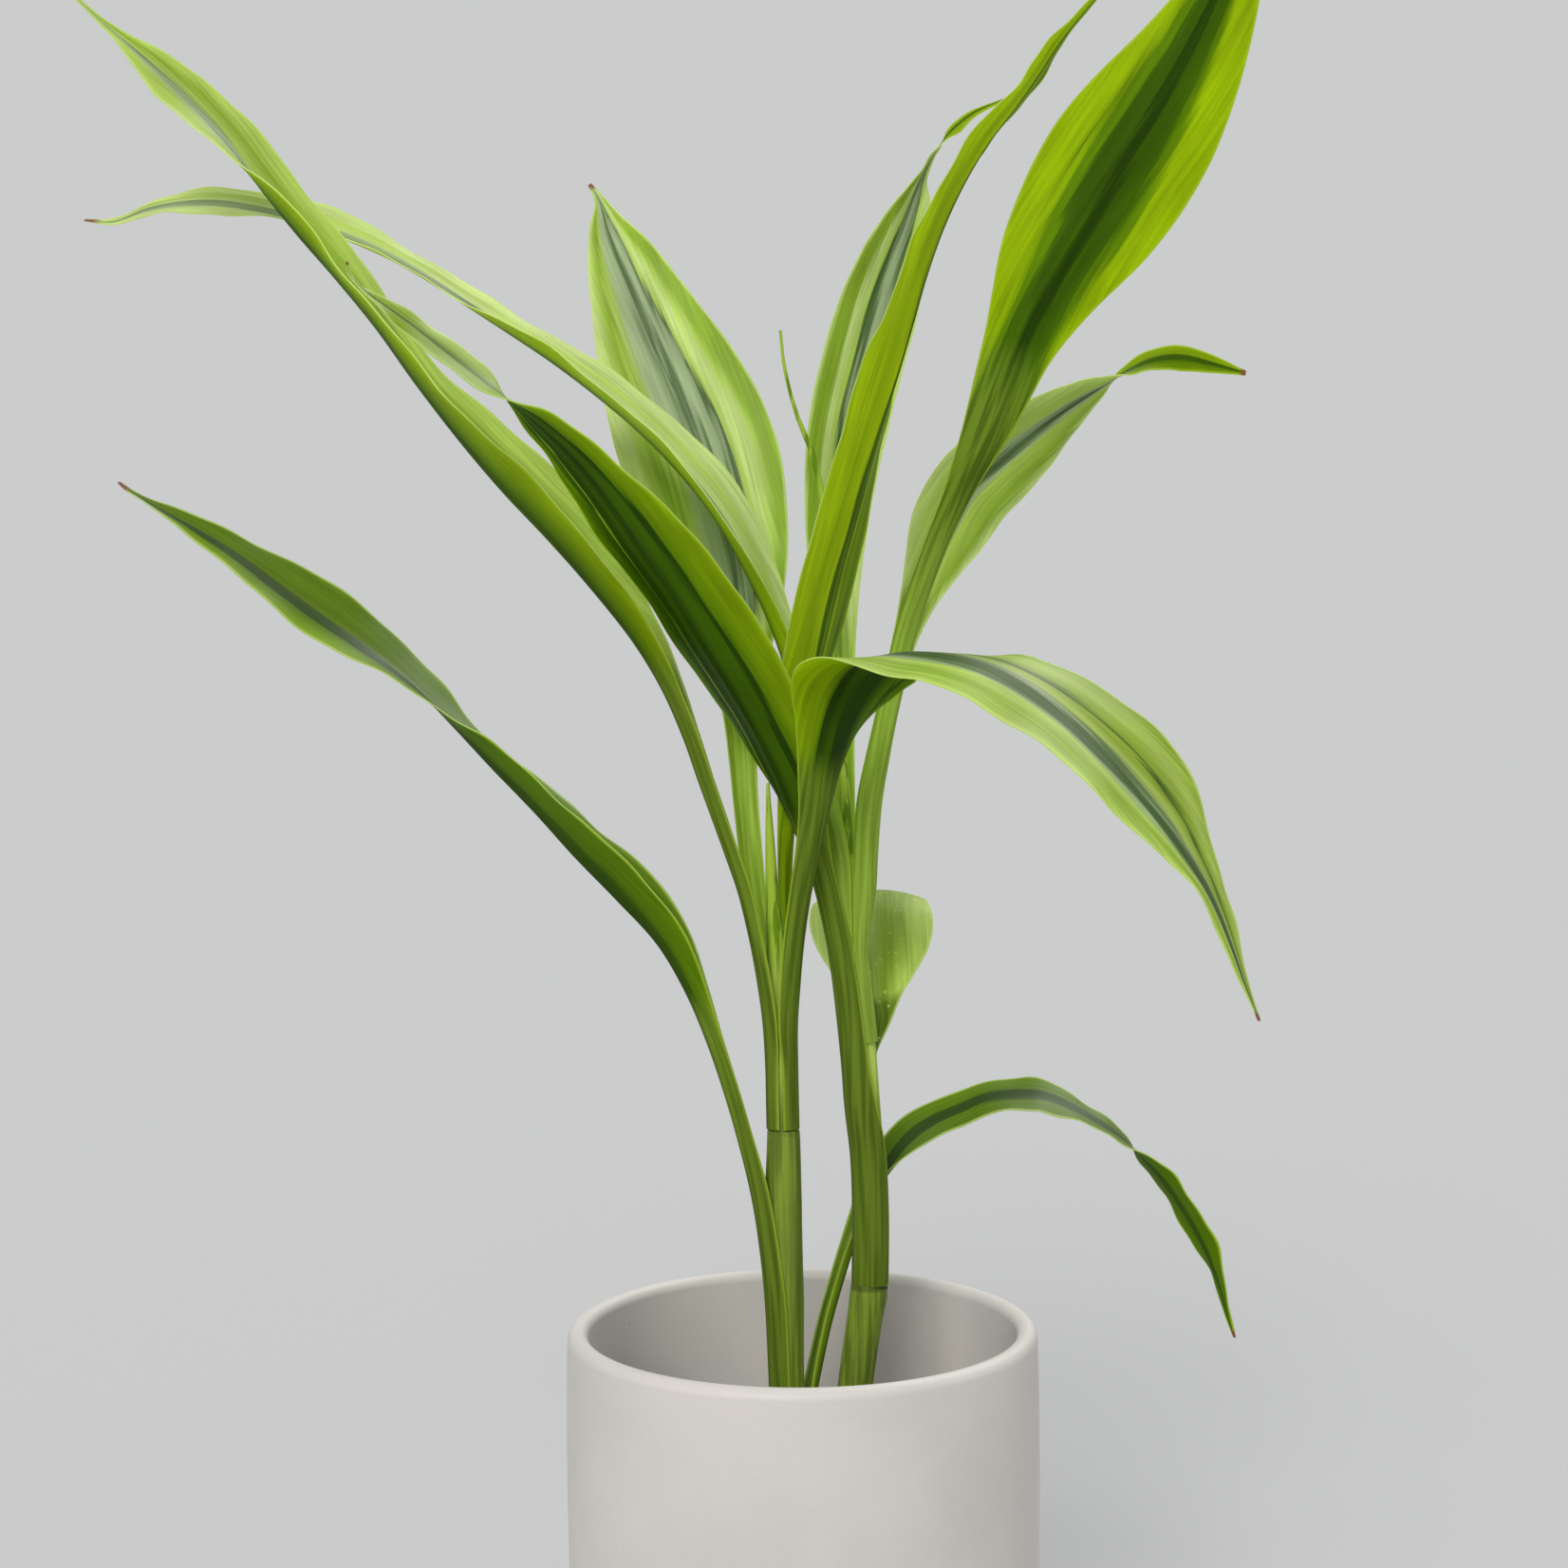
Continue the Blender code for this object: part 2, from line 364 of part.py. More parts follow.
leaf("leaf_back_arched", ("right", 62.0, ((54.0, 32.0), (58.0, 32.0), (63.0, 32.0))), (0.4, 6.0, 0.3), [
    (18.2, 71.0, 13.0, 3.6, (0.0, -1.0, 0.2), 5.0, 50.0),
    (17.7, 78.0, 17.0, 8.8, (0.0, -0.95, 0.35), 10.0, 20.0),
    (17.3, 85.0, 23.0, 13.8, (0.0, -0.85, 0.5), 10.0, 5.0),
    (17.0, 92.0, 31.0, 15.8, (0.0, -0.6, 0.8), 8.0, -6.0),
    (17.0, 98.0, 40.0, 15.4, (0.0, -0.35, 0.95), 5.0, -14.0),
    (17.2, 101.0, 49.5, 13.6, (0.0, -0.05, 1.0), 3.0, -22.0),
    (17.5, 101.4, 59.5, 12.6, (0.0, 0.16, 0.98), 3.0, -24.0),
    (18.0, 99.4, 70.0, 12.0, (0.0, 0.3, 0.95), 3.0, -20.0),
    (18.4, 95.4, 80.5, 11.0, (0.0, 0.42, 0.91), 3.0, -12.0),
    (18.6, 89.4, 91.0, 8.6, (0.0, 0.5, 0.87), 4.0, -4.0),
    (18.3, 81.6, 101.0, 5.2, (0.0, 0.56, 0.83), 5.0, 0.0),
    (17.6, 73.0, 109.5, 2.0, (0.0, 0.62, 0.78), 5.0, 0.0),
    (17.0, 66.0, 115.0, 0.4, (0.0, 0.66, 0.75), 5.0, 0.0),
])


def place(seen_x, height, behind):
    """The point that looks, from the eye, to be at this x and height above the rim."""
    target = Vector((seen_x, 0.0, POT_HEIGHT + height))
    return EYE + (target - EYE) * ((behind - EYE.y) / -EYE.y)


def between(values, position):
    """Catmull-Rom interpolation of a list of vectors or numbers at a fractional index."""
    last = len(values) - 1
    start = min(int(position), last - 1)
    t = position - start
    before = values[max(start - 1, 0)]
    first = values[start]
    second = values[start + 1]
    after = values[min(start + 2, last)]
    return (
        first * (2 - 5 * t * t + 3 * t**3)
        + second * (t + 4 * t * t - 3 * t**3)
        + before * (-t + 2 * t * t - t**3)
        + after * (-t * t + t**3)
    ) * 0.5


def even_between(values, position):
    """Straight interpolation, for values that must not overshoot."""
    start = min(int(position), len(values) - 2)
    t = position - start
    return values[start] * (1 - t) + values[start + 1] * t


def cane_at(stem, height):
    """The cane's centre and radius at a height above the rim, by its own table."""
    for low, high in zip(stem, stem[1:]):
        if low[1] <= height <= high[1]:
            t = (height - low[1]) / (high[1] - low[1])
            mixed = [a + (b - a) * t for a, b in zip(low, high)]
            return place(*mixed[:3]), mixed[3]
    raise ValueError("height off the cane")


def seat_stations(clasp):
    """Stations of a leaf's sheath, whose midrib lies on one side of its cane."""
    cane, azimuth, rows = clasp
    outward = Vector((cos(radians(azimuth)), sin(radians(azimuth)), 0.0))
    stations = []
    for height, wrap in rows:
        centre, cane_radius = cane_at(STEMS[cane], height)
        radius = cane_radius + SHEATH_GAP + BLADE / 2
        stations.append((centre + outward * radius, -outward, radius * radians(wrap), 0.0, wrap))
    return stations


def free_stations(stations, before):
    """Stations of the free leaf, with each face worked out from the leaf's travel there."""
    points = [place(*station[:3]) for station in stations]
    chain = [before] + points + [points[-1] * 2 - points[-2]]
    made = []
    for index, station in enumerate(stations):
        travel = (chain[index + 2] - chain[index]).normalized()
        face = station[4]
        if isinstance(face, tuple):
            upper = Vector(face)
        else:
            viewer = EYE - points[index]
            toward = (viewer - travel * viewer.dot(travel)).normalized()
            right = travel.cross(toward)
            upper = toward * cos(radians(face)) + right * sin(radians(face))
        made.append((points[index], upper, station[3], station[5], station[6]))
    return made


def half_blade(width, fold, curl, cells):
    """Steps (across, up) from the midrib to the edge of one half of the blade."""
    across, up = 0.0, 0.0
    steps = [(0.0, 0.0)]
    for cell in range(cells):
        angle = radians(fold + curl * (cell + 0.5) / cells)
        across += width / cells * cos(angle)
        up += width / cells * sin(angle)
        steps.append((across, up))
    return steps


def leaf_rows(clasp, wave, stations, rows, cells):
    """Points of the leaf's middle surface, one row across the leaf for each step along it."""
    seat = seat_stations(clasp)
    knots = seat + free_stations(stations, seat[-1][0])
    centres, uppers, widths, folds, curls = (list(column) for column in zip(*knots))
    wave_height, wave_count, wave_phase = wave
    grid = []
    for row in range(rows):
        position = (len(knots) - 1) * row / (rows - 1)
        centre = between(centres, position)
        ahead = between(centres, min(position + TRAVEL_REACH, len(knots) - 1))
        behind = between(centres, max(position - TRAVEL_REACH, 0.0))
        travel = (ahead - behind).normalized()
        upper = even_between(uppers, position)
        upper = (upper - travel * upper.dot(travel)).normalized()
        side = travel.cross(upper)
        width = even_between(widths, position)
        steps = half_blade(width, even_between(folds, position), even_between(curls, position), cells)
        share = row / (rows - 1)
        blade_share = min(max((share - WAVE_FROM) / WAVE_RISE, 0.0), 1.0)
        blade_share *= min((1.0 - share) / WAVE_FALL, 1.0)
        points = []
        for sign in (-1, 1):
            half = []
            for cell, (across, up) in enumerate(steps):
                ripple = sin(2 * pi * wave_count * share + wave_phase + sign)
                up += wave_height * blade_share * ripple * (cell / cells) ** 2
                half.append(centre + side * (sign * across) + upper * up)
            points += half[:0:-1] if sign < 0 else half
        grid.append(points)
    return grid


def build_leaf(name, material):
    """An open sheet of triangles, made a thin solid with the same triangles on both faces."""
    clasp, wave, stations = LEAVES[name]
    grid = leaf_rows(clasp, wave, stations, ROWS, CELLS)
    sheet = bmesh.new()
    rows = [[sheet.verts.new(point * MM) for point in points] for points in grid]
    for low, high in zip(rows, rows[1:]):
        for index in range(len(low) - 1):
            if index < len(low) // 2:
                sheet.faces.new((low[index], low[index + 1], high[index]))
                sheet.faces.new((low[index + 1], high[index + 1], high[index]))
            else:
                sheet.faces.new((low[index], low[index + 1], high[index + 1]))
                sheet.faces.new((low[index], high[index + 1], high[index]))
    mesh = bpy.data.meshes.new(name)
    sheet.to_mesh(mesh)
    sheet.free()
    mesh.materials.append(material)
    mesh.shade_smooth()
    obj = bpy.data.objects.new(name, mesh)
    PART.objects.link(obj)
    thicken = obj.modifiers.new("Blade", "SOLIDIFY")
    thicken.thickness = BLADE * MM
    thicken.offset = 0.0
    thicken.use_even_offset = True
    return obj


def build_stem(name, stem, material):
    """A round cane along its own line, tapering into a furled new leaf."""
    curve = bpy.data.curves.new(name, "CURVE")
    curve.dimensions = "3D"
    curve.bevel_depth = MM
    curve.bevel_resolution = CANE_BEVEL_RESOLUTION
    curve.use_fill_caps = True
    spline = curve.splines.new("POLY")
    spline.points.add(len(stem) - 1)
    for knot, (seen_x, height, behind, radius) in zip(spline.points, stem):
        knot.co = (*(place(seen_x, height, behind) * MM), 1.0)
        knot.radius = radius
    curve.materials.append(material)
    obj = bpy.data.objects.new(name, curve)
    PART.objects.link(obj)
    return obj


def turned(name, profile, sides, material, collection):
    """A profile in millimetres turned about the upright axis."""
    mesh = bpy.data.meshes.new(name)
    points = [(radius * MM, 0.0, height * MM) for radius, height in profile]
    mesh.from_pydata(points, [(index, index + 1) for index in range(len(points) - 1)], [])
    mesh.materials.append(material)
    obj = bpy.data.objects.new(name, mesh)
    collection.objects.link(obj)
    screw = obj.modifiers.new("Turn", "SCREW")
    screw.steps = sides
    screw.render_steps = sides
    screw.use_merge_vertices = True
    screw.merge_threshold = 0.00001
    screw.use_smooth_shade = True
    return obj


def arc(centre, radius, start, end, steps):
    """Points (radius, height) on an arc, with its ends."""
    turned_points = []
    for step in range(steps + 1):
        angle = radians(start + (end - start) * step / steps)
        turned_points.append((centre[0] + radius * cos(angle), centre[1] + radius * sin(angle)))
    return turned_points


def build_pot(material):
    inner = POT_RADIUS - WALL
    lip = WALL / 2
    profile = [(0.0, FLOOR)]
    profile += arc((inner - INNER_ROUND, FLOOR + INNER_ROUND), INNER_ROUND, -90, 0, 4)
    profile += arc((POT_RADIUS - lip, POT_HEIGHT - lip), lip, 180, 0, 8)
    profile += [
        (POT_RADIUS + SWELL * 0.4, POT_HEIGHT - SWELL_BELOW_RIM * 0.55),
        (POT_RADIUS + SWELL, POT_HEIGHT - SWELL_BELOW_RIM),
        (POT_RADIUS, POT_HEIGHT - SWELL_BELOW_RIM * 2.0),
    ]
    profile += arc((POT_RADIUS - BASE_ROUND, BASE_ROUND), BASE_ROUND, 0, -90, 4)
    profile += [(0.0, 0.0)]
    return turned("pot", profile, POT_SIDES, material, PART)


def soil_profile():
    """A flat-bottomed filling with a low, lumpy top that sinks a little at the wall."""
    wall = POT_RADIUS - WALL - GAP
    top = POT_HEIGHT - SOIL_BELOW_RIM
    profile = []
    for ring in range(SOIL_RINGS + 1):
        share = ring / SOIL_RINGS
        profile.append((wall * share, top + SOIL_LUMP * cos(ring * 2.1) * (0.3 + 0.7 * share)))
    profile += arc((wall - INNER_ROUND, FLOOR + GAP + INNER_ROUND), INNER_ROUND, 0, -90, 3)
    profile += [(0.0, FLOOR + GAP)]
    return profile


def build_soil(material):
    soil = turned("soil", soil_profile(), POT_SIDES // 2, material, PART)
    for stem_name, stem in STEMS.items():
        low = place(*stem[0][:3])
        high = place(*stem[1][:3])
        along = (high - low).normalized()
        hole = bpy.data.objects.new("hole_" + stem_name, bpy.data.meshes.new("hole_" + stem_name))
        CUTTERS.objects.link(hole)
        shape = bmesh.new()
        turn = along.to_track_quat("Z", "Y").to_matrix().to_4x4()
        middle = low + along * (HOLE_LENGTH / 2 - GAP)
        radius = (stem[0][3] + GAP) / cos(pi / HOLE_SIDES)
        bmesh.ops.create_cone(
            shape,
            cap_ends=True,
            segments=HOLE_SIDES,
            radius1=radius * MM,
            radius2=radius * MM,
            depth=HOLE_LENGTH * MM,
            matrix=Matrix.Translation(middle * MM) @ turn,
        )
        shape.to_mesh(hole.data)
        shape.free()
        hole.hide_render = True
        hole.display_type = "WIRE"
        cut = soil.modifiers.new("Hole " + stem_name, "BOOLEAN")
        cut.operation = "DIFFERENCE"
        cut.object = hole
    return soil


def finish(name, colour, roughness):
    """A plain material with the part's colour."""
    material = bpy.data.materials.new(name)
    material.use_nodes = True
    shader = material.node_tree.nodes["Principled BSDF"]
    shader.inputs["Base Color"].default_value = (*colour, 1.0)
    shader.inputs["Roughness"].default_value = roughness
    shader.inputs["Metallic"].default_value = 0.0
    return material


for old in list(bpy.data.objects):
    bpy.data.objects.remove(old)

PART = bpy.data.collections.new(NAME)
CUTTERS = bpy.data.collections.new("cutters")
bpy.context.scene.collection.children.link(PART)
bpy.context.scene.collection.children.link(CUTTERS)
STEMS = {"left": LEFT_STEM, "right": RIGHT_STEM}

leaf_green = finish("variegated_leaf", (0.33, 0.47, 0.08), 0.42)
stem_green = finish("green_cane", (0.30, 0.40, 0.09), 0.45)
build_pot(finish("matte_ceramic", (0.62, 0.59, 0.55), 0.6))
build_soil(finish("potting_soil", (0.03, 0.02, 0.013), 0.95))
for stem_name, stem_table in STEMS.items():
    build_stem(stem_name + "_stem", stem_table, stem_green)
for leaf_name in LEAVES:
    build_leaf(leaf_name, leaf_green)
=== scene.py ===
from math import cos, hypot, pi, radians, sin
from random import Random

import bmesh
import bpy
from bpy.props import FloatProperty, FloatVectorProperty, IntProperty, PointerProperty
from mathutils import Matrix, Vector, noise


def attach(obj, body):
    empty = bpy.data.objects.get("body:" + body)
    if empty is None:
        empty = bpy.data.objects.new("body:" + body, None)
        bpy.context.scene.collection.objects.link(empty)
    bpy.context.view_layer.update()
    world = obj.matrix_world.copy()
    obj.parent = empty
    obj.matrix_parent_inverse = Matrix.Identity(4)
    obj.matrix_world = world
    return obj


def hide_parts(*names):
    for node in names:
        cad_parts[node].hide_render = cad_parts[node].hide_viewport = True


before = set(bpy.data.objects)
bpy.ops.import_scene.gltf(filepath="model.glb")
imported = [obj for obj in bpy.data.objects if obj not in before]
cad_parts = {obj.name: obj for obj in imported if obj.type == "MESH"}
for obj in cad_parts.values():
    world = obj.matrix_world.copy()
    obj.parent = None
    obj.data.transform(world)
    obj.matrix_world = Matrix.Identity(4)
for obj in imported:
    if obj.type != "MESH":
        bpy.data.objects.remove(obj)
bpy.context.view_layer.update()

bl_info = {
    "name": "Potted Lucky Bamboo",
    "version": (1, 0, 0),
    "blender": (4, 5, 0),
    "location": "3D View > Sidebar > Lucky Bamboo",
    "description": "Dresses a packed lucky bamboo with leaves, canes, soil and a ceramic pot",
    "category": "Object",
}

# One millimetre in metres
MM = 0.001

# The viewpoint that the tables are read from, in millimetres: each point is given
# as it looks from here on the upright plane through the pot's axis, with how far
# behind that plane it lies. Heights in the tables are above the rim.
RIM = 115.0
EYE = Vector((-3.3, -480.0, RIM + 126.7))

# How far the middle of a sheath's thickness stands off its cane, in millimetres
SHEATH_OFF = 0.45

# Shares of the way through a leaf's stations: where its edge starts to wave, how
# far on the wave is full, and how far before the tip it starts to fade
WAVE_FROM, WAVE_RISE, WAVE_FALL = 0.35, 0.2, 0.1

# A finer wave on top of it: its height and its count, as shares of the first one's
RIPPLE_HEIGHT, RIPPLE_COUNT = 0.35, 2.3

# How far to each side, in stations, the way that a leaf or cane runs is measured
TRAVEL_REACH = 0.05

# A blade's share above its middle surface, how much thinner its edge is, and how
# thin a narrow one is: this share, and more by its half width over so many mm
BLADE_ABOVE, EDGE_THINNING, THINNEST, FULL_WIDTH = 0.15, 0.4, 0.25, 5.0

# Below its widest place a leaf turns to stalk as it narrows to this share of its
# greatest width, and is all stalk when it is this much less
STALK_FROM, STALK_FADE = 0.8, 0.55

# Canes: sides, steps between two stations, and their flutes' depth, count and twist
CANE_SIDES, CANE_STEPS = 32, 12
FLUTE_DEPTH, FLUTES, FLUTE_TWIST = 0.012, 5, 1.7

# The pot's roundings, and how far under the rim its wall stands out most, in metres
ROUND_INSIDE, ROUND_BASE, SWELL_BELOW = 0.006, 0.003, 0.026

# The soil, in metres: its gap to the pot, its turned edge, how far its crumbs keep
# off the canes, and the height of its lumps and of their broader swell
SOIL_GAP, SOIL_EDGE, SOIL_CLEAR, LUMP_HEIGHT, LUMP_SWELL = 0.0003, 0.0015, 0.001, 0.0011, 0.0006

# Crumbs: seed, shares of the largest one's size, stretch, how rough they are, and
# how far each is lifted, as a share of its size
CRUMB_SEED, CRUMB_SIZES, CRUMB_STRETCH, CRUMB_KNOCK, CRUMB_LIFT = 7, (0.35, 1.0), (0.6, 1.25), 0.22, 0.2

# Noises on a leaf. The wander is measured on its whole length and width, and the
# others on a 10 mm measure across and along it.
WANDER, COMB, HAIR = (0.5, 3.5, 1.0), (9.0, 0.32, 1.0), (16.0, 0.5, 1.0)
# The last noise places the painted highlight streaks on the upper sides' grey bands.
CLOUD, SHEEN_STREAK = (0.9, 0.4, 1.0), (6.5, 0.24, 1.0)

# How far the wander and the comb sway the bands, as shares of the leaf's width
WANDER_SWAY, COMB_SWAY = 0.07, 0.12

# Where the dark bands of an underside lie, and how far they spread at the stalk
DARK_MIDDLE, DARK_SPREAD = 0.42, 0.6

# The share of a leaf's length from which leaning bands lean
LEAN_FROM = 0.6

# The leaf with fine pale specks
SPECKLED = "leaf_back_arched"

# Half the floor's width in metres, and how far the camera leans over in degrees
FLOOR_REACH, CAMERA_ROLL = 20, 0.45

# Canes, from the soil up: seen x, height above the rim, distance behind the axis,
# radius. Above their nodes they are a little fuller than the solids.
CANES = {
    "left": (
        (-2.4,-55,-1,3.9), (-3,-30,-1,3.8), (-3.5,-10,-1,3.8), (-3.8,5,-1,4.2), (-4.1,16,-1,4.4), (-4.2,28,-1,4.4),
        (-4.1,40,-1,4), (-4.1,45.1,-1,3.8), (-4.1,45.3,-1,3.2), (-4.3,60,-1,3.2), (-4.7,75,-1,3),
        (-5.4,88,-0.8,2.35), (-6.2,100,-0.5,1.6), (-6.7,113,-0.3,1.1), (-7,122,-0.2,0.6), (-7.1,127,-0.2,0.35),
    ),
    "right": (
        (9.4,-55,6,4.2), (10.9,-30,6,4.2), (12.5,-14,6,4.2), (14.6,0,6,4.25), (15.6,5.5,6,4.5), (16,8.7,6,4.35),
        (16.1,8.9,6,3.7), (16.4,20,6,3.7), (16.3,32,6,3.7), (15.4,50,6,3.5), (14.7,65,6,3.15), (13.8,80,6.2,2.55),
        (12.9,95,7,1.8), (11.9,110,9,1.4), (10.6,130,12.5,1.2), (9,150,16.5,1.1), (8,170,19,1), (6.8,190,19.5,0.9),
        (4.4,203,19,0.7), (2,209.5,18.5,0.6), (0.3,214,18,0.5), (-1.4,220,17.5,0.45), (-2.6,226,17,0.4),
        (-3.3,233.5,16.5,0.35),
    ),
}

# Each cane's marks: how dark its scarred ring is, then the heights above the rim of
# the ring, where the pale shoot starts and where the furled leaf's stripes start
CANE_MARKS = {"left": (0.2, 45.0, 46.0, 78.0), "right": (0.65, 7.0, 36.0, 100.0)}

# Paints, 0 to 255: upper sides, undersides, stalks, then margins and the cane's scar
# The upper sides' grey and silver paints are the dark green centre band with a painted sheen of reflected sky.
PAINTS = {
    "lime": (152,182,54), "pale": (190,212,108), "sun": (180,206,54), "leaf": (124,156,36), "grey": (128,150,104),
    "dusk": (76,106,50), "silver": (188,204,162), "cream": (212,226,160), "glow": (134,162,4), "gold": (160,186,6),
    "bright": (186,208,18), "moss": (98,132,4), "deep": (70,104,4), "night": (46,74,4), "vein": (140,166,40),
    "fern": (106,136,28), "pine": (62,88,34), "stalk_pale": (176,202,90), "stalk_mid": (148,174,64),
    "stalk": (128,154,48), "stalk_dark": (94,120,30), "margin": (206,222,150), "margin_under": (172,196,60),
    "scar": (62,74,22),
}

LEAVES = {}


def leaf(name, clasp, wave, stations, upper, under, stalk, tip, lean=(0.0, 0.0)):
    """Keeps one leaf.

    Clasp: its cane, azimuth and (height, wrap) rows. Wave: height, count and phase.
    Stations, base to tip: seen x, height above the rim, distance behind the axis, half
    width, face, fold, curl. A face that is a number turns the upper side from the
    viewer (0) to the right of the leaf's travel (90), and one that is a vector is
    where the upper side looks. Fold raises the halves from the midrib, and curl bends
    them on. What a row leaves out at its end stays as it was in the row before.
    Upper and under: bands of paint from the left edge (0) to the right edge (100), as
    seen on the upper side with the tip up. Stalk: its two paints. Tip: length of the
    dried tip in millimetres. Lean: how the bands move across near the tip, as a slope
    and the share of the length where they are in place.
    """
    rows = [stations[0]]
    for station in stations[1:]:
        rows.append((*station, *rows[-1][len(station):]))
    LEAVES[name] = (clasp, wave, rows, upper, under, stalk, tip, lean)


leaf("leaf_low_left", ("left",196,((-33,80),(-14,80),(5,76))), (0.5,9,0.4), [
    (-9.7,19,-2.4,5.5,105,0,70), (-11.7,31,-2.5,5.2,100,0,95), (-14.6,43,-2.5,4.4,92,0,125),
    (-17.7,54,-2.5,4.3,90,5,120), (-21.7,66,-2,4.5,88,10,105), (-26.7,78,-1.5,6.3,85,25,60),
    (-33.4,89.5,-1,10.5,83,35,25), (-42.9,100,0,13,82,42,5), (-52.5,110,1,13,84,38,0), (-62,120.7,2,12,87,33),
    (-72,131.2,3,10.5,89,25), (-80.5,140.5,4,9.5,84,16), (-89.5,150,5,9.5,70,10), (-100,159.2,6,9.8,54,6),
    (-112,168,7,9.6,45,5), (-124,176.7,8,8), (-136,185,9,5,50), (-147,191.3,10,2.8,52), (-156,196.5,10.5,0.9,55),
    (-159.5,199,10.5,0.4),
],
    "0 lime 16 leaf 26 fern 28 pine 44 pine 50 fern 90 fern 100 leaf",
    "0 moss 30 moss 34 deep 60 night 66 moss 100 moss",
    "stalk stalk_dark", 4)
leaf("leaf_low_right", ("left",20,((-33,45),(-27,45))), (0.5,8,1.1), [
    (3.4,-14,3.5,3.4,-60,0,110), (6.3,-1,7.5,3.5,-60,0,120), (9.3,9.5,11,3.5), (12.6,19.5,14,3.6,-60,0,110),
    (16.5,29,15.8,4.3,-58,5,80), (21,36.8,16,5.8,-55,10,40), (26.3,43.2,16,7,-52,8,10), (31.8,47,15.5,7.2,-55,6,0),
    (37.8,49.6,15,7.4,-58,4), (44,52.2,14.5,7.8,-60,3), (51,52.9,13.5,8), (57.5,52.4,12.5,7.6,-62),
    (64,49.8,11.5,7,-66), (70,46.4,10.5,6.5,-72), (75.5,42.6,9.5,6.2,-82), (80.5,38.2,8.5,6,-98),
    (84.8,33.5,8,5.8,-112,4), (88.8,28,7.5,5.4,-120), (92.5,22,7,5,-122), (95.8,15.5,6.5,4.3),
    (98.3,8.5,6,2.8,-120), (100.2,1,6,1.2), (101.8,-4.5,6,0.4),
],
    "0 leaf 20 fern 30 fern 34 pine 60 pine 64 fern 90 fern 100 leaf",
    "0 moss 36 moss 42 deep 58 deep 64 moss 100 moss",
    "stalk stalk_dark", 2.5)
leaf("leaf_left_long", ("left",206,((45.7,50),(53,50),(60,50))), (0.5,10,0), [
    (-8.1,70,-3.3,3.8,114,0,50), (-9.5,80,-3.8,4,108,0,58), (-11.5,90.5,-4.2,4.2,100,0,72),
    (-14,101,-4.5,4.4,94,0,88), (-17,110,-4.5,4.5,90,0,100), (-20,118.5,-4.5,4.5,88,0,108),
    (-23.2,127.5,-4.5,4.5,88,5,105), (-26.8,138,-4.5,4.8,86,10,90), (-31.8,149.5,-5,6,82,20,60),
    (-38.7,161,-5,8.5,78,35,25), (-48.5,173.5,-5,12.5,75,42,8), (-58.5,185,-4.5,15,73,43,0),
    (-69,196.3,-4,15.5,73,42), (-79,208.3,-3,14,76,34), (-89,221.5,-2,11.5,80,24), (-98.5,235,-1,9.8,78,25),
    (-108,246.8,0,9.3,74,31), (-117,257.3,1,10,72,38), (-126,268.8,2,10.8,67,26), (-133,278.8,2.5,10.8,60,12),
    (-140.5,287.7,3,9,48,5), (-148,295,3.5,6,40,4), (-156,302,4,2.6,36), (-163,308,4,1), (-170,314.5,4,0.4),
],
    "0 cream 10 pale 30 pale 38 silver 42 grey 50 grey 56 pale 72 lime 86 pale 100 pale",
    "0 gold 20 glow 36 moss 44 deep 56 moss 66 glow 100 gold",
    "stalk stalk_dark", 2)
leaf("leaf_left_arched", ("right",213,((74,34),(81,34),(88,34))), (0.5,9,2), [
    (9.2,99,4.4,3.6,138,0,62), (8.1,110,6.2,4.2,132,0,80), (5.7,122,10,4.4,118,0,100), (2.6,135,15.5,4.6,100),
    (-1.2,149,18,5.5,88,10,70), (-5.5,162.5,17.5,7.5,80,18,35), (-11,175,16.8,10.5,74,24,10),
    (-17.5,187,16.5,13,72,25,0), (-25.5,198,16.5,14), (-35.5,208.8,17,12.5,74,26), (-46,218,17,11,76),
    (-57,226.5,17.5,10,78,25), (-68,234,18,9.3,79,22), (-79,241.3,19,8.8,76,14), (-90,248.5,20,8.5,74,12),
    (-101,254,21,8.7,74,20), (-112,258.3,22,9,70,22), (-122,261.8,23,8.6,66,14), (-133,264.3,24,7.2,64,6),
    (-143,264.6,25,5.8,64,4), (-152,263.2,26,3.8), (-160,260.4,27,1.2), (-167,260.8,28,0.4),
],
    "0 cream 26 cream 34 silver 40 grey 56 grey 62 cream 76 pale 86 cream 100 cream",
    "0 gold 36 glow 44 moss 60 moss 66 glow 100 gold",
    "stalk_pale stalk_mid", 5)
leaf("leaf_front_left", ("right",200,((9.2,150),(24,150),(38,148))), (0.5,9,0.8), [
    (11.2,50,3.2,8,118,0,105), (10.8,60.5,2.4,5.8,128,0,82), (10.1,72,2,4.8,140,0,76), (8.8,84,1.8,4.3,148,0,85),
    (6.8,95,1,4.2,148,0,90), (4.2,105.5,0,4.4,146), (1,115.2,-2,6.3,143,10,65), (-2.9,125.3,-4,9.2,138,20,25),
    (-8.2,136.3,-6.7,12.2,134,22,5), (-14.6,147.9,-10.3,14.5,130,20,0), (-21.8,159.7,-14.2,15.8,128,18),
    (-29,171.5,-18.5,16,127,15), (-36,182,-22.5,14.5,127,10), (-43.5,193,-26,12,126,5), (-51.5,203,-29.5,10,125,3),
    (-59.5,211,-32.5,8,115), (-66.5,217,-35,6.8,95), (-73,221.8,-37,6.3,72), (-80.5,227.8,-39,5.8,58),
    (-88,233.8,-41,4.6), (-95,239,-43,2.8), (-101,243.5,-44.5,1.2), (-104.5,247.5,-45.5,0.5),
    (-105.3,250.5,-46,0.4),
],
    "0 lime 40 lime 46 fern 50 dusk 56 fern 62 lime 100 pale",
    "0 gold 7 glow 16 glow 27 moss 28.5 night 32 night 34 deep 44 deep 50 night 58 deep 66 night 73.5 night "
    "75 vein 76.5 vein 78 night 86 deep 90 moss 97 moss 100 glow",
    "stalk stalk_dark", 1)
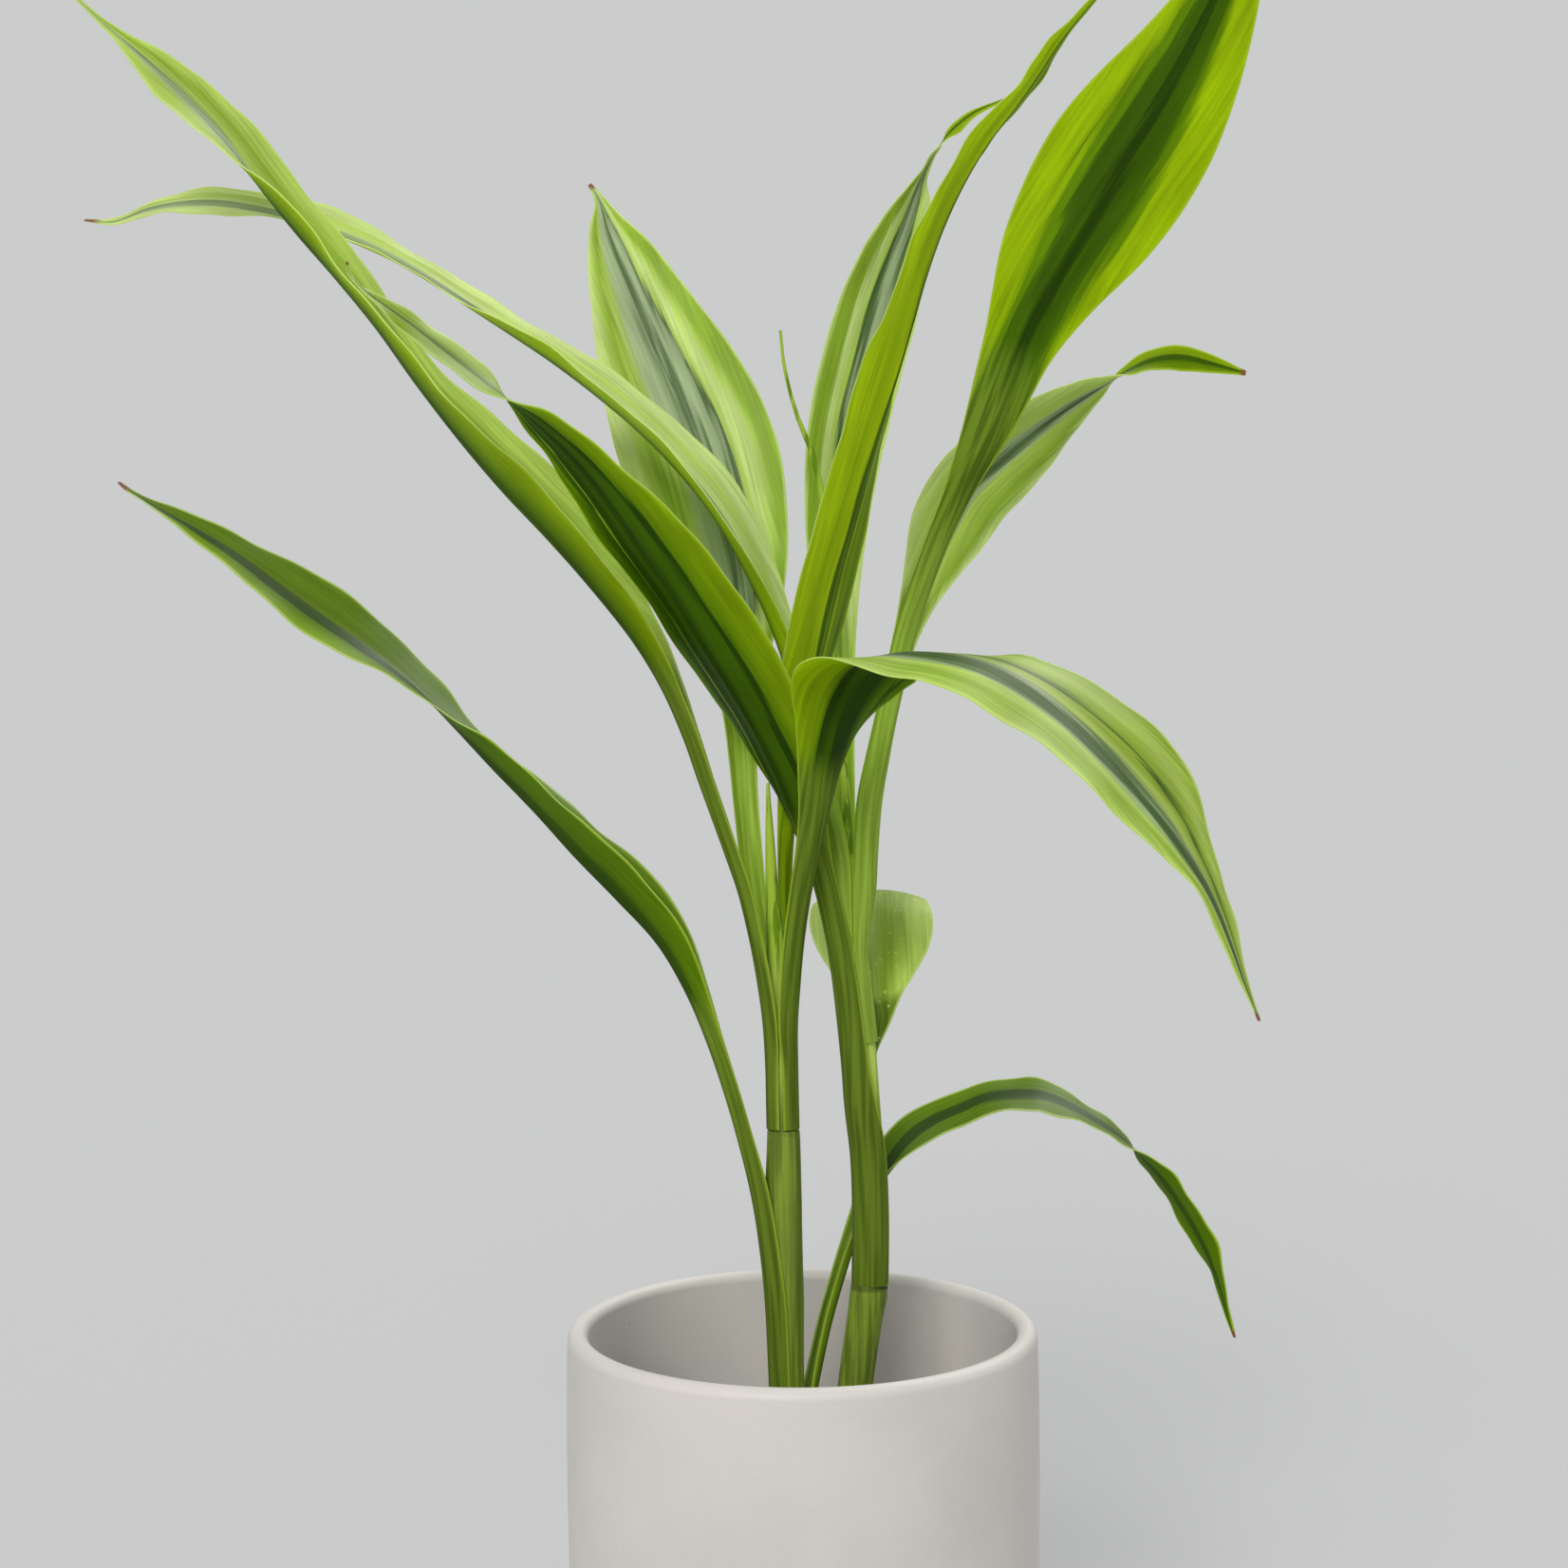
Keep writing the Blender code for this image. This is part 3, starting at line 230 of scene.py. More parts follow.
leaf("leaf_back_broad", ("left",105,((49,36),(68,36))), (0.5,7,0), [
    (-7.2,80,3.6,3,5,0,60), (-8.9,90,4.5,3.2,5,0,70), (-10.4,100,5.5,3.5,5,0,75), (-11.4,110,6.5,3.6),
    (-12.3,120,8.5,3.8), (-13,130,11,4,5,0,70), (-13.6,142,18,5,5,10,50), (-13.9,155,25,8,5,12,25),
    (-14.6,168,31,12.5,5,14,8), (-16.4,180,36,16.5,5,14,0), (-19,190,39.5,19.2), (-21.6,200,42.5,20.6,5,13),
    (-24.8,210,46,20.6,5,12), (-28.6,220,49.5,18.8,5,11), (-32.6,230,53,16.2,5,10), (-36.6,240,56.5,13),
    (-40.6,250,60,9.6), (-43.6,258,62.5,5.2), (-45.4,264,64.5,1.4), (-48,268.3,66,0.4),
],
    "0 cream 5 pale 14 lime 22 pale 28 silver 37 silver 41 grey 45 dusk 49 grey 53 silver 57 grey 60 dusk 63 pale "
    "70 cream 76 pale 82 lime 95 lime 100 cream",
    "0 glow 30 moss 36 deep 60 deep 64 glow 100 gold",
    "stalk_pale stalk_mid", 2.5, (-0.28,0.98))
leaf("leaf_front_drooping", ("left",-45,((45.7,44),(60,42))), (0.5,7,0.6), [
    (-1.9,70,-5.3,3.4,-140,0,55), (-1.2,80,-6,3.6,-140,0,60), (-0.2,89.5,-6.8,3.7,-140,0,68),
    (1.3,99.5,-7.8,3.8,-142,0,75), (3.2,109.5,-9.3,4.2,-145,0,80), (5.2,119.5,-11.5,5.2,-150,10,60),
    (6.8,129.5,-14.8,7.4,-158,25,35), (8.6,138.5,-18.8,10,-163,30,20), (11.4,147,-23,13,(-0.23,0.84,0.46),16,0),
    (15.6,153.9,-27.5,15.3,(-0.32,0.53,0.77),-2,-6), (22.3,157.2,-32.5,16.2,(-0.17,0.11,0.98),-8,-4),
    (30,157.6,-37.5,16.3,(-0.09,-0.15,0.985),-9.5,0), (38,156.6,-42,16.4,(0.035,-0.31,0.95),-10),
    (46.5,153.9,-46,16.6,(0.19,-0.42,0.885),-6.5), (55.5,148.8,-49.5,16.8,-62,-3), (64.5,141.4,-52.5,16.8,-57,5),
    (73,132.7,-55.5,16,-53,10), (80.5,124,-58,14.5,-52,12), (87.5,115.2,-60.5,11.5,-54,10),
    (93.5,106,-62.5,7.5,-58,8), (98,97.5,-64.5,4.5,-60,6), (101.7,88,-66,3,-62,5), (104.8,79,-67.5,1.8),
    (108.2,70,-69,0.4),
],
    "0 lime 14 pale 26 lime 31 dusk 32.5 lime 42 pale 44 grey 52 dusk 60 dusk 66 grey 70 pale 80 lime 100 pale",
    "0 moss 10 moss 13 night 16 moss 24 deep 30 night 44 night 50 deep 58 night 61 moss 68 glow 100 gold",
    "stalk stalk_dark", 2.5)
leaf("leaf_centre_upright", ("left",28,((51,24),(76,24))), (0.4,9,0.2), [
    (-2.2,92,3.5,2.8,-100,0,70), (-2.2,103,5,3.2,-115,0,80), (-1.6,115,6.5,3.8,-120), (-0.4,127,6.5,5,-120,5,60),
    (1.3,139,3.5,7.5,-120,8,30), (3.4,151,-0.5,10.5,-120,8,12), (6,163,-2.5,12.5,-120,8,0), (9,175,-3.5,12.8),
    (12.6,187,-4.5,12.5,-118,10), (16.4,199,-5.5,12.5,-116,14), (20.3,211,-6.5,12.5,-114,20),
    (24.2,223,-7.5,12,-111,23), (27.8,235,-9,11,-106), (31.2,246.5,-10.5,10,-102,22), (35.2,257.5,-12,9),
    (40.2,268,-13.5,8,-104), (46.3,278,-15,6.8,-108,18), (52.4,286,-16.5,5.4,-112,10), (57.8,293.5,-17.5,4.2,-115),
    (62.6,300.6,-18.5,3.2,-118), (68.2,307.5,-19.5,1.9), (76.5,317,-20.5,0.4),
],
    "0 lime 30 lime 36 grey 58 grey 62 lime 100 lime",
    "0 bright 6 glow 14 moss 19 glow 28 glow 31 moss 35 bright 38 glow 42 deep 46 glow 50 deep 53 moss 55 bright "
    "70 gold 84 bright 100 bright",
    "gold moss", 1.5)
leaf("leaf_centre_back", ("right",110,((70,38),(84,38))), (0.4,8,1.5), [
    (11.5,100,12.8,3,0,0,70), (11,114,15.3,3), (10.4,130,18,3.4,5,0,60), (9.8,145,21,3.9,8,5,40),
    (9.2,160,24,4.8,10,10,20), (8.8,175,27,6.8,12,12,5), (9.3,190,30.5,8.6,15,12,0), (10.6,203,33.5,10.2,18),
    (12.7,215.5,37.5,11.2,20), (15.8,227.5,41,11.6,22), (19,238,44,11.2), (22.4,248,47,10.2,25),
    (25.8,257,49.5,7.8,30,14), (28.6,265,51.5,4.6,38,20), (31,271,53,2,55,15), (34.3,276.3,54.5,1.8,90,5),
    (38.2,280.8,56,2.2,125), (43.2,284.6,57.5,1.4,135), (50,287.5,59,0.4),
],
    "0 cream 6 lime 20 lime 26 cream 38 pale 40 dusk 50 grey 54 silver 60 grey 66 dusk 69 pale 90 cream 100 pale",
    "0 glow 40 glow 46 deep 66 deep 70 glow 100 glow",
    "stalk_pale stalk_mid", 1.5)
leaf("leaf_right_tall", ("right",-48,((66,54),(74,52),(81,50),(88,46))), (0.5,8,0.9), [
    (15.9,100,3,3.5,-165,0,70), (16.2,111,2.5,3.7,-170), (17,122,2,3.8,-172), (18.9,132.5,1,3.6,-175,0,75),
    (21.1,143,0,3.4,-178,0,80), (23.4,153,-1.5,3.4,-180), (25.8,163,-3,3.4,-182), (29,172.5,-5,3.4),
    (32.6,182,-7,3.4,-182,0,75), (36.6,191.5,-9.5,3.6,-182,5,60), (40.6,200.5,-12,4.4,-182,8,40),
    (44.8,209.5,-14.5,5.8,-182,10,20), (48.6,219,-17.5,7,-182,10,8), (52.5,229,-20.5,8.1,-182,10,0),
    (57,239,-24,10.8), (62.4,249.5,-27.5,14.1,-182,9), (69.5,260.5,-31.5,16.6,-182,8), (76.8,271.5,-35.5,17.3),
    (84.9,283,-40,15.9), (92.6,295,-44.5,12.7), (99.4,307.5,-49,9.3), (105.2,319.5,-53.5,5.7),
    (109.6,330.5,-57.5,2.5), (113.4,341,-61,0.4),
],
    "0 lime 32 sun 36 grey 62 dusk 66 sun 100 lime",
    "0 gold 20 gold 25 moss 28 moss 31 deep 42 deep 46 night 50 night 54 deep 65 deep 67 moss 73 moss 76 glow "
    "84 gold 100 gold",
    "stalk_pale stalk_mid", 1.5, (0.65,0.75))
leaf("leaf_right_small", ("right",38,((72,22),(88,22))), (0.4,7,0.1), [
    (16.2,104,10,2.2,-20,0,70), (17.4,118,10,2.4,-15,0,75), (19.2,132,11.5,2.6,-10,0,80), (21.5,146,13.5,2.9,0),
    (24.4,158,16.5,3.3,10,5,60), (27.4,168,20,4.6,15,10,30), (30.8,177,23.5,7.4,18,12,8),
    (34.6,186,27.5,10.8,20,12,0), (40,194.9,32,12.2,25), (47.4,202,36.5,11.8,30), (55.2,208.4,41,10.8,35),
    (62.6,213.6,45,8.8,40,10), (69.2,217.8,49,5.8,52,8), (74.6,221,52,3.8,76,5), (79.2,223.6,54.5,3.4,114),
    (84.8,225.9,57,3.7,146), (91,226.4,59.5,3.7,155), (98.4,224.8,62,2.6,157), (106.2,222.6,64,0.4),
],
    "0 cream 20 pale 36 pale 40 silver 44 grey 50 dusk 56 grey 60 silver 64 pale 86 lime 100 cream",
    "0 glow 36 moss 42 deep 58 deep 64 glow 100 glow",
    "stalk_pale stalk_mid", 2)
leaf("leaf_back_arched", ("right",62,((54,32),(58,32),(63,32))), (0.4,6,0.3), [
    (18.2,71,13,3.6,(0,-1,0.2),5,50), (17.7,78,17,8.8,(0,-0.95,0.35),10,20), (17.3,85,23,13.8,(0,-0.85,0.5),10,5),
    (17,92,31,15.8,(0,-0.6,0.8),8,-6), (17,98,40,15.4,(0,-0.35,0.95),5,-14),
    (17.2,101,49.5,13.6,(0,-0.05,1),3,-22), (17.5,101.4,59.5,12.6,(0,0.16,0.98),3,-24),
    (18,99.4,70,12,(0,0.3,0.95),3,-20), (18.4,95.4,80.5,11,(0,0.42,0.91),3,-12),
    (18.6,89.4,91,8.6,(0,0.5,0.87),4,-4), (18.3,81.6,101,5.2,(0,0.56,0.83),5,0), (17.6,73,109.5,2,(0,0.62,0.78)),
    (17,66,115,0.4,(0,0.66,0.75)),
],
    "0 pale 16 pale 40 lime 50 pale 62 lime 90 pale 100 pale",
    "0 glow 36 moss 46 deep 60 moss 100 glow",
    "stalk stalk_dark", 2)


class PotSettings(bpy.types.PropertyGroup):
    """Size and finish of the ceramic pot."""

    radius: FloatProperty(name="Radius", description="Outer radius", default=0.055, subtype="DISTANCE")
    height: FloatProperty(name="Height", description="Base to rim", default=0.115, subtype="DISTANCE")
    wall: FloatProperty(name="Wall", description="Wall thickness", default=0.0048, subtype="DISTANCE")
    floor: FloatProperty(name="Floor", description="Thickness of the base", default=0.006, subtype="DISTANCE")
    swell: FloatProperty(name="Swell", description="Wall's swell under the rim", default=0.0003, subtype="DISTANCE")
    sides: IntProperty(name="Sides", description="Steps round the pot", default=192)
    colour: FloatVectorProperty(
        name="Colour", description="Ceramic body", default=(0.56, 0.535, 0.508), subtype="COLOR"
    )
    roughness: FloatProperty(name="Roughness", description="Of the unglazed face", default=0.5, subtype="FACTOR")


class SoilSettings(bpy.types.PropertyGroup):
    """Level and crumbs of the potting soil."""

    level: FloatProperty(name="Below Rim", description="Rim to soil", default=0.035, subtype="DISTANCE")
    crumb: FloatProperty(name="Crumb", description="Largest crumb's radius", default=0.0016, subtype="DISTANCE")
    crumbs: IntProperty(name="Crumbs", description="How many loose crumbs", default=1500)
    colour: FloatVectorProperty(
        name="Colour", description="Moist soil", default=(0.03, 0.019, 0.011), subtype="COLOR"
    )


class PlantSettings(bpy.types.PropertyGroup):
    """Fineness, thickness and colours of leaves and canes."""

    blade: FloatProperty(name="Blade", description="Thickness at the midrib", default=0.00045, subtype="DISTANCE")
    rows: IntProperty(name="Rows", description="Steps along a leaf", default=200)
    cells: IntProperty(name="Cells", description="Steps across half a leaf", default=10)
    glow: FloatProperty(name="Glow", description="Share of light let through", default=0.46, subtype="FACTOR")
    dry: FloatVectorProperty(
        name="Dry Tip", description="Dried leaf tips", default=(0.3, 0.16, 0.07), subtype="COLOR"
    )
    cane: FloatVectorProperty(name="Cane", description="Green canes", default=(0.135, 0.2, 0.018), subtype="COLOR")


class StageSettings(bpy.types.PropertyGroup):
    """Floor, light and camera."""

    floor: FloatVectorProperty(
        name="Floor", description="Floor colour", default=(0.4425, 0.4476, 0.458), subtype="COLOR"
    )
    surround: FloatVectorProperty(
        name="Surround", description="Light from all round", default=(0.6, 0.603, 0.606), subtype="COLOR"
    )
    key_strength: FloatProperty(name="Key", description="Soft light from the front", default=2.2)
    back_strength: FloatProperty(name="Back", description="Soft light from behind the leaves", default=1.5)
    focal: FloatProperty(name="Focal Length", description="In millimetres on a 36 mm sensor", default=46.79)


class BambooSettings(bpy.types.PropertyGroup):
    """All settings of the potted lucky bamboo."""

    pot: PointerProperty(name="Pot", description="Ceramic pot", type=PotSettings)
    soil: PointerProperty(name="Soil", description="Potting soil", type=SoilSettings)
    plant: PointerProperty(name="Plant", description="Leaves and canes", type=PlantSettings)
    stage: PointerProperty(name="Stage", description="Floor, light and camera", type=StageSettings)


def rgba(colour, factor=1.0):
    """A colour, lighter or darker, with its fourth channel."""
    return (*[channel * factor for channel in colour], 1.0)


def paint(name):
    """A paint as scene-linear RGBA."""
    shares = [channel / 255 for channel in PAINTS[name]]
    return rgba([share / 12.92 if share <= 0.04045 else ((share + 0.055) / 1.055) ** 2.4 for share in shares])


class Look:
    """A material with one main shader, and short ways to add nodes to it."""

    def __init__(self, name, inputs):
        self.material = bpy.data.materials.new(name)
        self.material.use_nodes = True
        self.tree = self.material.node_tree
        self.tree.nodes.clear()
        self.shader = self.add("BsdfPrincipled", inputs)
        self.output = self.add("OutputMaterial", {"Surface": self.shader.outputs[0]})

    def fill(self, node, inputs):
        """Links or sets a node's inputs."""
        for name, value in inputs.items():
            if isinstance(value, bpy.types.NodeSocket):
                self.tree.links.new(value, node.inputs[name])
            else:
                node.inputs[name].default_value = value

    def add(self, kind, inputs, **settings):
        """A new node with its settings and inputs."""
        node = self.tree.nodes.new("ShaderNode" + kind)
        for name, value in settings.items():
            setattr(node, name, value)
        self.fill(node, inputs)
        return node

    def get(self, kind, inputs, **settings):
        """The first output of a new node."""
        return self.add(kind, inputs, **settings).outputs[0]

    def math(self, operation, first, second=0.0, third=0.0):
        """One step of arithmetic."""
        return self.get("Math", {0: first, 1: second, 2: third}, operation=operation)

    def times(self, value, factor, plus=0.0):
        """A value times a factor, plus another value."""
        return self.math("MULTIPLY_ADD", value, factor, plus)

    def away(self, value, zero, factor, plus):
        """How far a value is from its zero, times a factor, plus another value."""
        return self.times(self.math("SUBTRACT", value, zero), factor, plus)

    def spread(self, value, low, high, first, last, kind="LINEAR"):
        """A value from low to high brought from first to last."""
        inputs = {"Value": value, "From Min": low, "From Max": high, "To Min": first, "To Max": last}
        return self.get("MapRange", inputs, interpolation_type=kind)

    def ramp(self, value, low, high):
        """A smooth step from 0 at low to 1 at high, either of which may be the larger."""
        ends = (0.0, 1.0) if low < high else (1.0, 0.0)
        return self.spread(value, min(low, high), max(low, high), *ends, "SMOOTHSTEP")

    def mix(self, share, first, second):
        """A colour between two colours."""
        return self.add("Mix", {0: share, 6: first, 7: second}, data_type="RGBA").outputs[2]

    def grain(self, vector, scale, detail=2.0, roughness=0.5):
        """Noise, about 0.5 on average. The scale is one number, or one for each axis."""
        if isinstance(scale, tuple):
            vector = self.get("VectorMath", {0: vector, 1: scale}, operation="MULTIPLY")
            scale = 1.0
        return self.get("TexNoise", {"Vector": vector, "Scale": scale, "Detail": detail, "Roughness": roughness})

    def place(self):
        """Where a point is on its piece, in metres."""
        return self.add("TexCoord", {}).outputs["Object"]

    def coat(self, colour, height, strength, distance):
        """Gives the main shader its colour and bumps, and returns the material."""
        bump = self.get("Bump", {"Height": height, "Strength": strength, "Distance": distance})
        self.fill(self.shader, {"Base Color": colour, "Normal": bump})
        return self.material


def leaf_finish(name, bands, stalk, tip, lean):
    """Striped blade with fine veins, a pale margin, its stalk's paints at the base and a dried tip."""
    plant = bpy.context.scene.bamboo.plant
    upper = name.endswith("_upper")
    look = Look(name, {"Specular IOR Level": 0.22 if upper else 0.1})
    on_blade, on_lines, on_rim = (look.get("UVMap", {}, uv_map=layer) for layer in ("blade", "lines", "rim"))
    across, along, _ = look.add("SeparateXYZ", {0: on_blade}).outputs
    inside, stalkwards, _ = look.add("SeparateXYZ", {0: on_rim}).outputs
    comb = look.grain(on_lines, COMB, 1.0)
    hair = look.grain(on_lines, HAIR, 0.0)
    cloud = look.grain(on_lines, CLOUD)

    spot = across
    slope, in_place = lean
    if slope:
        spot = look.away(look.math("MAXIMUM", along, LEAN_FROM), in_place, -slope, spot)
    if not upper:
        spot = look.away(spot, DARK_MIDDLE, look.times(stalkwards, -DARK_SPREAD, 1.0), DARK_MIDDLE)
    spot = look.away(look.grain(on_blade, WANDER), 0.5, WANDER_SWAY, spot)
    spot = look.away(comb, 0.5, COMB_SWAY, spot)
    striped = look.add("ValToRGB", {0: spot})
    stops = striped.color_ramp.elements
    stops.remove(stops[1])
    bands = bands.split()
    for percent, hue in zip(bands[::2], bands[1::2]):
        position = float(percent) / 100
        stop = stops.new(position) if position else stops[0]
        stop.position = position
        stop.color = paint(hue)
    colour = striped.outputs[0]

    if upper:
        # The greyish bands, whose grey holds a painted sheen, are broken up by streaks of painted highlight in the
        # silver paint.
        _, green, blue = look.add("SeparateColor", {0: colour}).outputs
        sheened_bands = look.ramp(look.math("SUBTRACT", green, blue), 0.36, 0.22)
        sheened_bands = look.times(sheened_bands, look.ramp(blue, 0.02, 0.1))
        painted_highlight = look.ramp(look.grain(on_lines, SHEEN_STREAK, 1.0), 0.46, 0.58)
        colour = look.mix(look.times(look.times(painted_highlight, sheened_bands), 0.6), colour, paint("silver"))
    veins = look.times(hair, 0.45, look.times(comb, 0.55))
    tone = look.times(cloud, 0.35, look.times(veins, 0.65))
    shade = look.spread(tone, 0.36, 0.64, 0.86, 1.16)
    colour = look.get("HueSaturation", {"Value": shade, "Color": colour})

    light, dark = stalk.split()
    base = look.mix(look.ramp(comb, 0.3, 0.66), paint(dark), paint(light))
    higher = look.mix(look.ramp(comb, 0.4, 0.58), paint("stalk_dark"), paint("stalk"))
    base = look.mix(look.ramp(along, 0.32, 0.5), base, higher)
    base = look.get("HueSaturation", {"Value": look.times(stalkwards, -0.35, 1.3), "Color": base})
    colour = look.mix(look.ramp(stalkwards, 0.5, 0.8), colour, base)
    if name.startswith(SPECKLED):
        specks = look.ramp(look.get("TexVoronoi", {"Vector": on_lines, "Scale": 4.5}), 0.2, 0.12)
        specks = look.times(specks, look.ramp(cloud, 0.4, 0.5))
        colour = look.mix(look.times(specks, 0.7), colour, paint("cream"))
    margin = look.times(look.ramp(inside, 0.07, 0.03), 0.65)
    colour = look.mix(margin, colour, paint("margin" if upper else "margin_under"))
    dry = look.ramp(look.away(comb, 0.5, tip * 0.5, along), 1.0 - tip, 1.0 - tip * 0.35)
    colour = look.mix(dry, colour, rgba(plant.dry))

    smoothest, roughest = (0.36, 0.5) if upper else (0.46, 0.6)
    look.fill(look.shader, {"Roughness": look.spread(comb, 0.0, 1.0, smoothest, roughest)})
    through = look.get("HueSaturation", {"Hue": 0.488, "Saturation": 1.3, "Value": 1.5, "Color": colour})
    glow = look.get("BsdfTranslucent", {"Color": through})
    surface = look.get("MixShader", {0: plant.glow, 1: look.shader.outputs[0], 2: glow})
    look.fill(look.output, {"Surface": surface})
    return look.coat(colour, veins, 0.2, 0.0003)


def cane_finish(name, ring_share, ring_height, shoot_height, spear_height):
    """Green cane with length-wise fibres, a scarred ring at its node and a striped furled leaf on top."""
    green = bpy.context.scene.bamboo.plant.cane
    inputs = {"Roughness": 0.45, "Specular IOR Level": 0.2, "Subsurface Weight": 0.1, "Subsurface Scale": 0.002}
    look = Look(name, inputs)
    spot = look.place()
    height = look.add("SeparateXYZ", {0: spot}).outputs[2]
    fibres = look.grain(spot, (700.0, 700.0, 16.0), 3.0)
    blotch = look.grain(spot, 60.0, 3.0)
    colour = look.mix(look.ramp(fibres, 0.38, 0.6), rgba(green, 0.7), rgba(green, 1.35))
    colour = look.mix(look.times(look.ramp(blotch, 0.42, 0.66), 0.5), colour, rgba(green))
    shoot = look.mix(look.ramp(fibres, 0.36, 0.6), paint("stalk_mid"), paint("stalk_pale"))
    colour = look.mix(look.ramp(height, shoot_height, shoot_height + 0.025), colour, shoot)
    spear = look.mix(look.ramp(fibres, 0.44, 0.54), paint("moss"), paint("lime"))
    colour = look.mix(look.ramp(height, spear_height, spear_height + 0.012), colour, spear)
    off_ring = look.math("ABSOLUTE", look.math("SUBTRACT", height, ring_height))
    ring = look.ramp(look.away(blotch, 0.5, 0.002, off_ring), 0.0012, 0.0003)
    colour = look.mix(look.times(ring, ring_share), colour, paint("scar"))
    return look.coat(colour, look.times(ring, -0.6, fibres), 0.3, 0.0003)


def ceramic_finish(name, pot):
    """Warm grey unglazed ceramic with faint mottling, fine grain and a few tiny dark pits."""
    look = Look(name, {"Roughness": pot.roughness, "Specular IOR Level": 0.35})
    spot = look.place()
    cool = rgba([channel * share for channel, share in zip(pot.colour, (0.93, 0.945, 0.95))])
    colour = look.mix(look.ramp(look.grain(spot, 26.0, 4.0), 0.38, 0.66), rgba(pot.colour), cool)
    pits = look.add("TexVoronoi", {"Vector": spot, "Scale": 95.0}).outputs
    reach = look.ramp(look.get("SeparateColor", {0: pits["Color"]}), 0.8, 1.0)
    pit = look.math("LESS_THAN", pits["Distance"], look.times(reach, 0.035))
    colour = look.mix(look.times(pit, 0.55), colour, (0.10, 0.085, 0.07, 1.0))
    return look.coat(colour, look.times(pit, -1.0, look.grain(spot, 900.0, 3.0)), 0.25, 0.00025)


def soil_finish(name, colour):
    """Dark crumbly soil with paler fibres."""
    look = Look(name, {"Roughness": 0.92})
    spot = look.place()
    lumps = look.grain(spot, 420.0, 5.0, 0.65)
    shade = look.mix(look.ramp(lumps, 0.38, 0.66), rgba(colour, 0.45), rgba(colour))
    shade = look.mix(look.ramp(look.grain(spot, 160.0), 0.62, 0.78), shade, rgba(colour, 2.6))
    return look.coat(shade, lumps, 0.8, 0.0008)


def add_object(name, data):
    """Puts a mesh, light or camera in the scene."""
    made = bpy.data.objects.new(name, data)
    bpy.context.scene.collection.objects.link(made)
    return made


def add_piece(name, mesh, slot, node, *materials):
    """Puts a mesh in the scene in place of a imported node."""
    for material in materials:
        mesh.materials.append(material)
    piece = add_object(name, mesh)
    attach(piece, "root")
    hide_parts(node)


def place(seen_x, height, behind):
    """The point that looks, from the eye, to be at this x and height above the rim."""
    target = Vector((seen_x, 0.0, RIM + height))
    return EYE + (target - EYE) * ((behind - EYE.y) / -EYE.y)


def between(values, position):
    """Catmull-Rom interpolation of a list of vectors or numbers at a fractional index."""
    last = len(values) - 1
    start = min(int(position), last - 1)
    t = position - start
    before, first, second, after = (values[min(max(start + step, 0), last)] for step in (-1, 0, 1, 2))
    return (
        first * (2 - 5 * t * t + 3 * t**3)
        + second * (t + 4 * t * t - 3 * t**3)
        + before * (-t + 2 * t * t - t**3)
        + after * (-t * t + t**3)
    ) * 0.5


def even_between(values, position):
    """Straight interpolation."""
    position = min(max(position, 0.0), len(values) - 1.0)
    start = min(int(position), len(values) - 2)
    t = position - start
    return values[start] * (1 - t) + values[start + 1] * t


def eased(values, position):
    """Straight interpolation with its corners rounded, so that it never overshoots."""
    total = values[0] * 0.0
    for offset, weight in ((-0.5, 1), (-0.25, 2), (0.0, 3), (0.25, 2), (0.5, 1)):
        total = total + even_between(values, position + offset) * (weight / 9)
    return total


def travel_at(points, position):
    """The way that a line of stations runs."""
    ahead = between(points, min(position + TRAVEL_REACH, len(points) - 1))
    return (ahead - between(points, max(position - TRAVEL_REACH, 0.0))).normalized()


def cane_at(table, height):
    """The cane's centre and radius at a height above the rim."""
    for low, high in zip(table, table[1:]):
        if low[1] <= height <= high[1]:
            t = (height - low[1]) / (high[1] - low[1])
            row = [a + (b - a) * t for a, b in zip(low, high)]
            return place(*row[:3]), row[3]
    raise ValueError("height off the cane")


def seat_stations(cane, azimuth, rows):
    """Stations of a leaf's sheath, whose midrib lies on one side of its cane."""
    outward = Vector((cos(radians(azimuth)), sin(radians(azimuth)), 0.0))
    stations = []
    for height, wrap in rows:
        centre, cane_radius = cane_at(CANES[cane], height)
        radius = cane_radius + SHEATH_OFF
        stations.append((centre + outward * radius, -outward, radius * radians(wrap), 0.0, wrap))
    return stations


def free_stations(stations, before):
    """Stations of the free leaf, with each face worked out from the leaf's travel there."""
    points = [place(*station[:3]) for station in stations]
    chain = [before] + points + [points[-1] * 2 - points[-2]]
    made = []
    for index, (_, _, _, width, face, fold, curl) in enumerate(stations):
        if isinstance(face, tuple):
            upper = Vector(face)
        else:
            travel = (chain[index + 2] - chain[index]).normalized()
            viewer = EYE - points[index]
            toward = (viewer - travel * viewer.dot(travel)).normalized()
            upper = toward * cos(radians(face)) + travel.cross(toward) * sin(radians(face))
        made.append((points[index], upper, width, fold, curl))
    return made


def half_blade(width, fold, curl, cells):
    """Steps (across, up) from the midrib to the edge of one half of the blade."""
    across, up = 0.0, 0.0
    steps = [(0.0, 0.0)]
    for cell in range(cells):
        angle = radians(fold + curl * (cell + 0.5) / cells)
        across += width / cells * cos(angle)
        up += width / cells * sin(angle)
        steps.append((across, up))
    return steps


